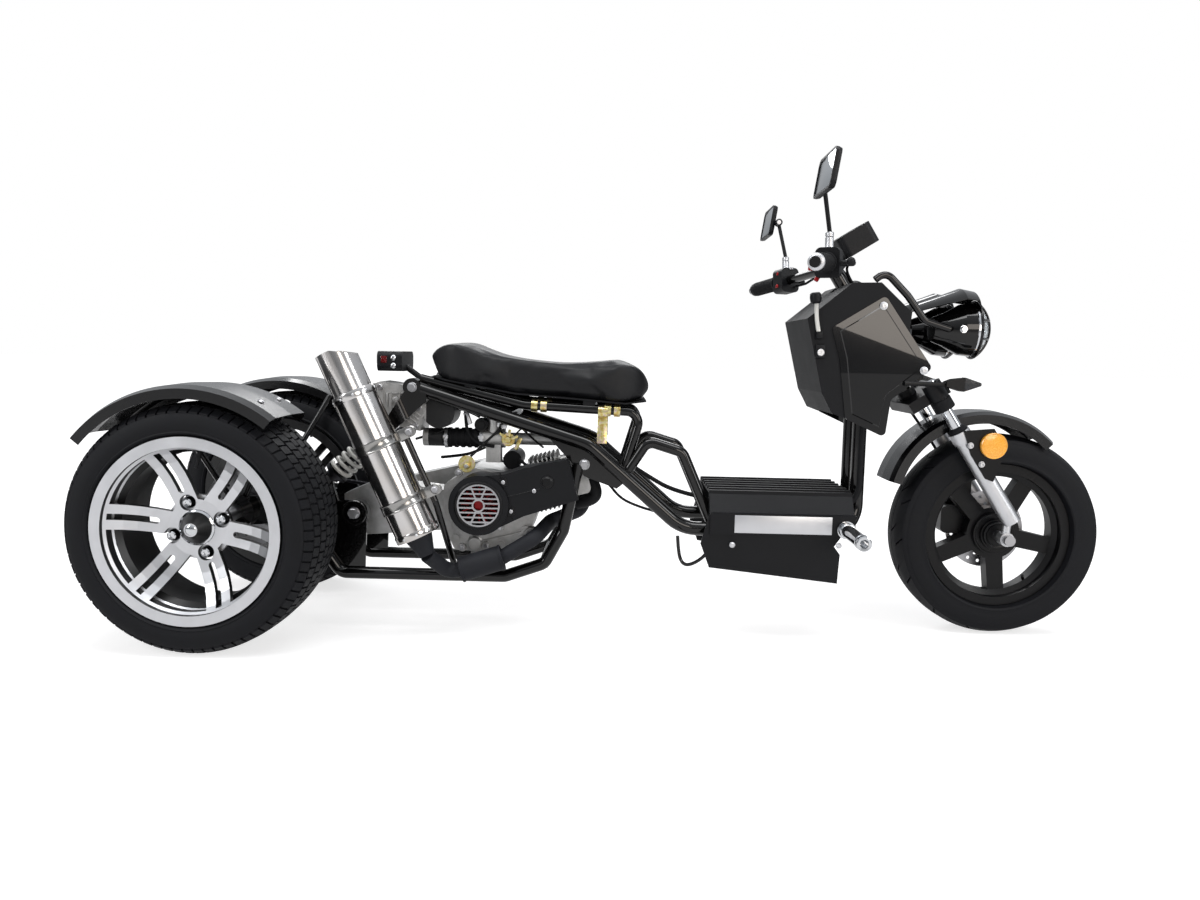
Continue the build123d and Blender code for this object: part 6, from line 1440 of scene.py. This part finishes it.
def light_world(scene):
    """White behind the object; a softer, plain light on it; reflections dim towards the horizon."""
    world = bpy.data.worlds.new("studio surround")
    world.use_nodes = True
    tree = world.node_tree
    tree.nodes.clear()
    ray = add_node(tree, "ShaderNodeLightPath")
    spot = add_node(tree, "ShaderNodeTexCoord")
    split = add_node(tree, "ShaderNodeSeparateXYZ", {"Vector": spot.outputs["Generated"]})
    height = add_node(tree, RANGE, {"Value": split.outputs["Z"], "From Min": 0.0,
                                    "From Max": 0.8, "To Min": 0.22, "To Max": 0.85})
    plain = add_node(tree, "ShaderNodeBackground", {"Color": (1, 1, 1, 1), "Strength": 0.34})
    mirrored = add_node(tree, "ShaderNodeBackground", {"Color": (0.93, 0.96, 1, 1),
                                                       "Strength": height.outputs["Result"]})
    white = add_node(tree, "ShaderNodeBackground", {"Color": (1, 1, 1, 1), "Strength": 1.0})
    first = add_node(tree, "ShaderNodeMixShader", {0: ray.outputs["Is Glossy Ray"],
                                                   1: plain.outputs[0], 2: mirrored.outputs[0]})
    seen = add_node(tree, MATH, {0: ray.outputs["Is Camera Ray"],
                                 1: ray.outputs["Is Transmission Ray"]}, operation="MAXIMUM")
    last = add_node(tree, "ShaderNodeMixShader", {0: seen.outputs[0], 1: first.outputs[0],
                                                  2: white.outputs[0]})
    add_node(tree, "ShaderNodeOutputWorld", {"Surface": last.outputs[0]})
    scene.world = world
    scene.view_settings.view_transform = "Standard"


def add_lamp(name, place, target, width, height, power, roll=0, colour=(1, 1, 1)):
    """A soft box that faces a point."""
    data = bpy.data.lights.new(name, "AREA")
    data.shape = "RECTANGLE"
    data.size = width
    data.size_y = height
    data.energy = power
    data.color = colour
    lamp = bpy.data.objects.new(name, data)
    bpy.context.scene.collection.objects.link(lamp)
    lamp.location = place
    aim = (Vector(target) - Vector(place)).to_track_quat("-Z", "Y")
    lamp.rotation_euler = (aim @ Quaternion((0, 0, 1), roll)).to_euler()


def add_camera(scene):
    """The camera at the photograph's place and angle."""
    data = bpy.data.cameras.new("camera")
    data.sensor_width = SENSOR_WIDTH
    data.lens = FOCAL_PIXELS / IMAGE_SIZE[0] * SENSOR_WIDTH
    data.clip_start = 0.05
    data.clip_end = 200
    camera = bpy.data.objects.new("camera", data)
    scene.collection.objects.link(camera)
    ahead = Vector((sin(CAMERA_YAW) * cos(CAMERA_PITCH), cos(CAMERA_YAW) * cos(CAMERA_PITCH),
                    sin(CAMERA_PITCH)))
    level = Vector((cos(CAMERA_YAW), -sin(CAMERA_YAW), 0))
    up = level.cross(ahead)
    right = level * cos(CAMERA_ROLL) + up * sin(CAMERA_ROLL)
    top = up * cos(CAMERA_ROLL) - level * sin(CAMERA_ROLL)
    turn = Matrix((right, top, -ahead)).transposed()
    camera.matrix_world = Matrix.Translation(CAMERA_PLACE) @ turn.to_4x4()
    scene.camera = camera


class TRIKE_PT_pieces(bpy.types.Panel):
    """Lists the scooter's pieces"""
    bl_idname = "TRIKE_PT_pieces"
    bl_label = "Trike scooter"
    bl_space_type = "VIEW_3D"
    bl_region_type = "UI"
    bl_category = "Trike"

    def draw(self, context):
        layout = self.layout
        for group in (context.scene.trike_sizes, context.scene.trike_colours):
            for name in group.__annotations__:
                layout.prop(group, name)
        for operator in OPERATORS:
            layout.operator(operator.bl_idname)


OPERATORS = (
    TRIKE_OT_stage,
    TRIKE_OT_finishes,
    TRIKE_OT_rear_tyres,
    TRIKE_OT_front_tyre,
    TRIKE_OT_seat,
    TRIKE_OT_rear_wheel_trim,
    TRIKE_OT_front_wheel_trim,
    TRIKE_OT_exhaust_trim,
    TRIKE_OT_engine_trim,
    TRIKE_OT_intake_trim,
    TRIKE_OT_chain,
    TRIKE_OT_frame_trim,
    TRIKE_OT_fairing_trim,
    TRIKE_OT_lamp_trim,
    TRIKE_OT_fork_trim,
    TRIKE_OT_bar_trim,
    TRIKE_OT_deck_trim,
)
CLASSES = (TrikeSizes, TrikeColours, *OPERATORS, TRIKE_PT_pieces)


def register():
    for each in CLASSES:
        bpy.utils.register_class(each)
    bpy.types.Scene.trike_sizes = bpy.props.PointerProperty(type=TrikeSizes)
    bpy.types.Scene.trike_colours = bpy.props.PointerProperty(type=TrikeColours)


def unregister():
    del bpy.types.Scene.trike_colours
    del bpy.types.Scene.trike_sizes
    for each in reversed(CLASSES):
        bpy.utils.unregister_class(each)


def main():
    register()
    bpy.ops.trike.stage()
    bpy.ops.trike.finishes()
    bpy.ops.trike.rear_tyres()
    bpy.ops.trike.front_tyre()
    bpy.ops.trike.seat()
    bpy.ops.trike.rear_wheel_trim()
    bpy.ops.trike.front_wheel_trim()
    bpy.ops.trike.exhaust_trim()
    bpy.ops.trike.engine_trim()
    bpy.ops.trike.intake_trim()
    bpy.ops.trike.chain()
    bpy.ops.trike.frame_trim()
    bpy.ops.trike.fairing_trim()
    bpy.ops.trike.lamp_trim()
    bpy.ops.trike.fork_trim()
    bpy.ops.trike.bar_trim()
    bpy.ops.trike.deck_trim()


if __name__ == "__main__":
    main()
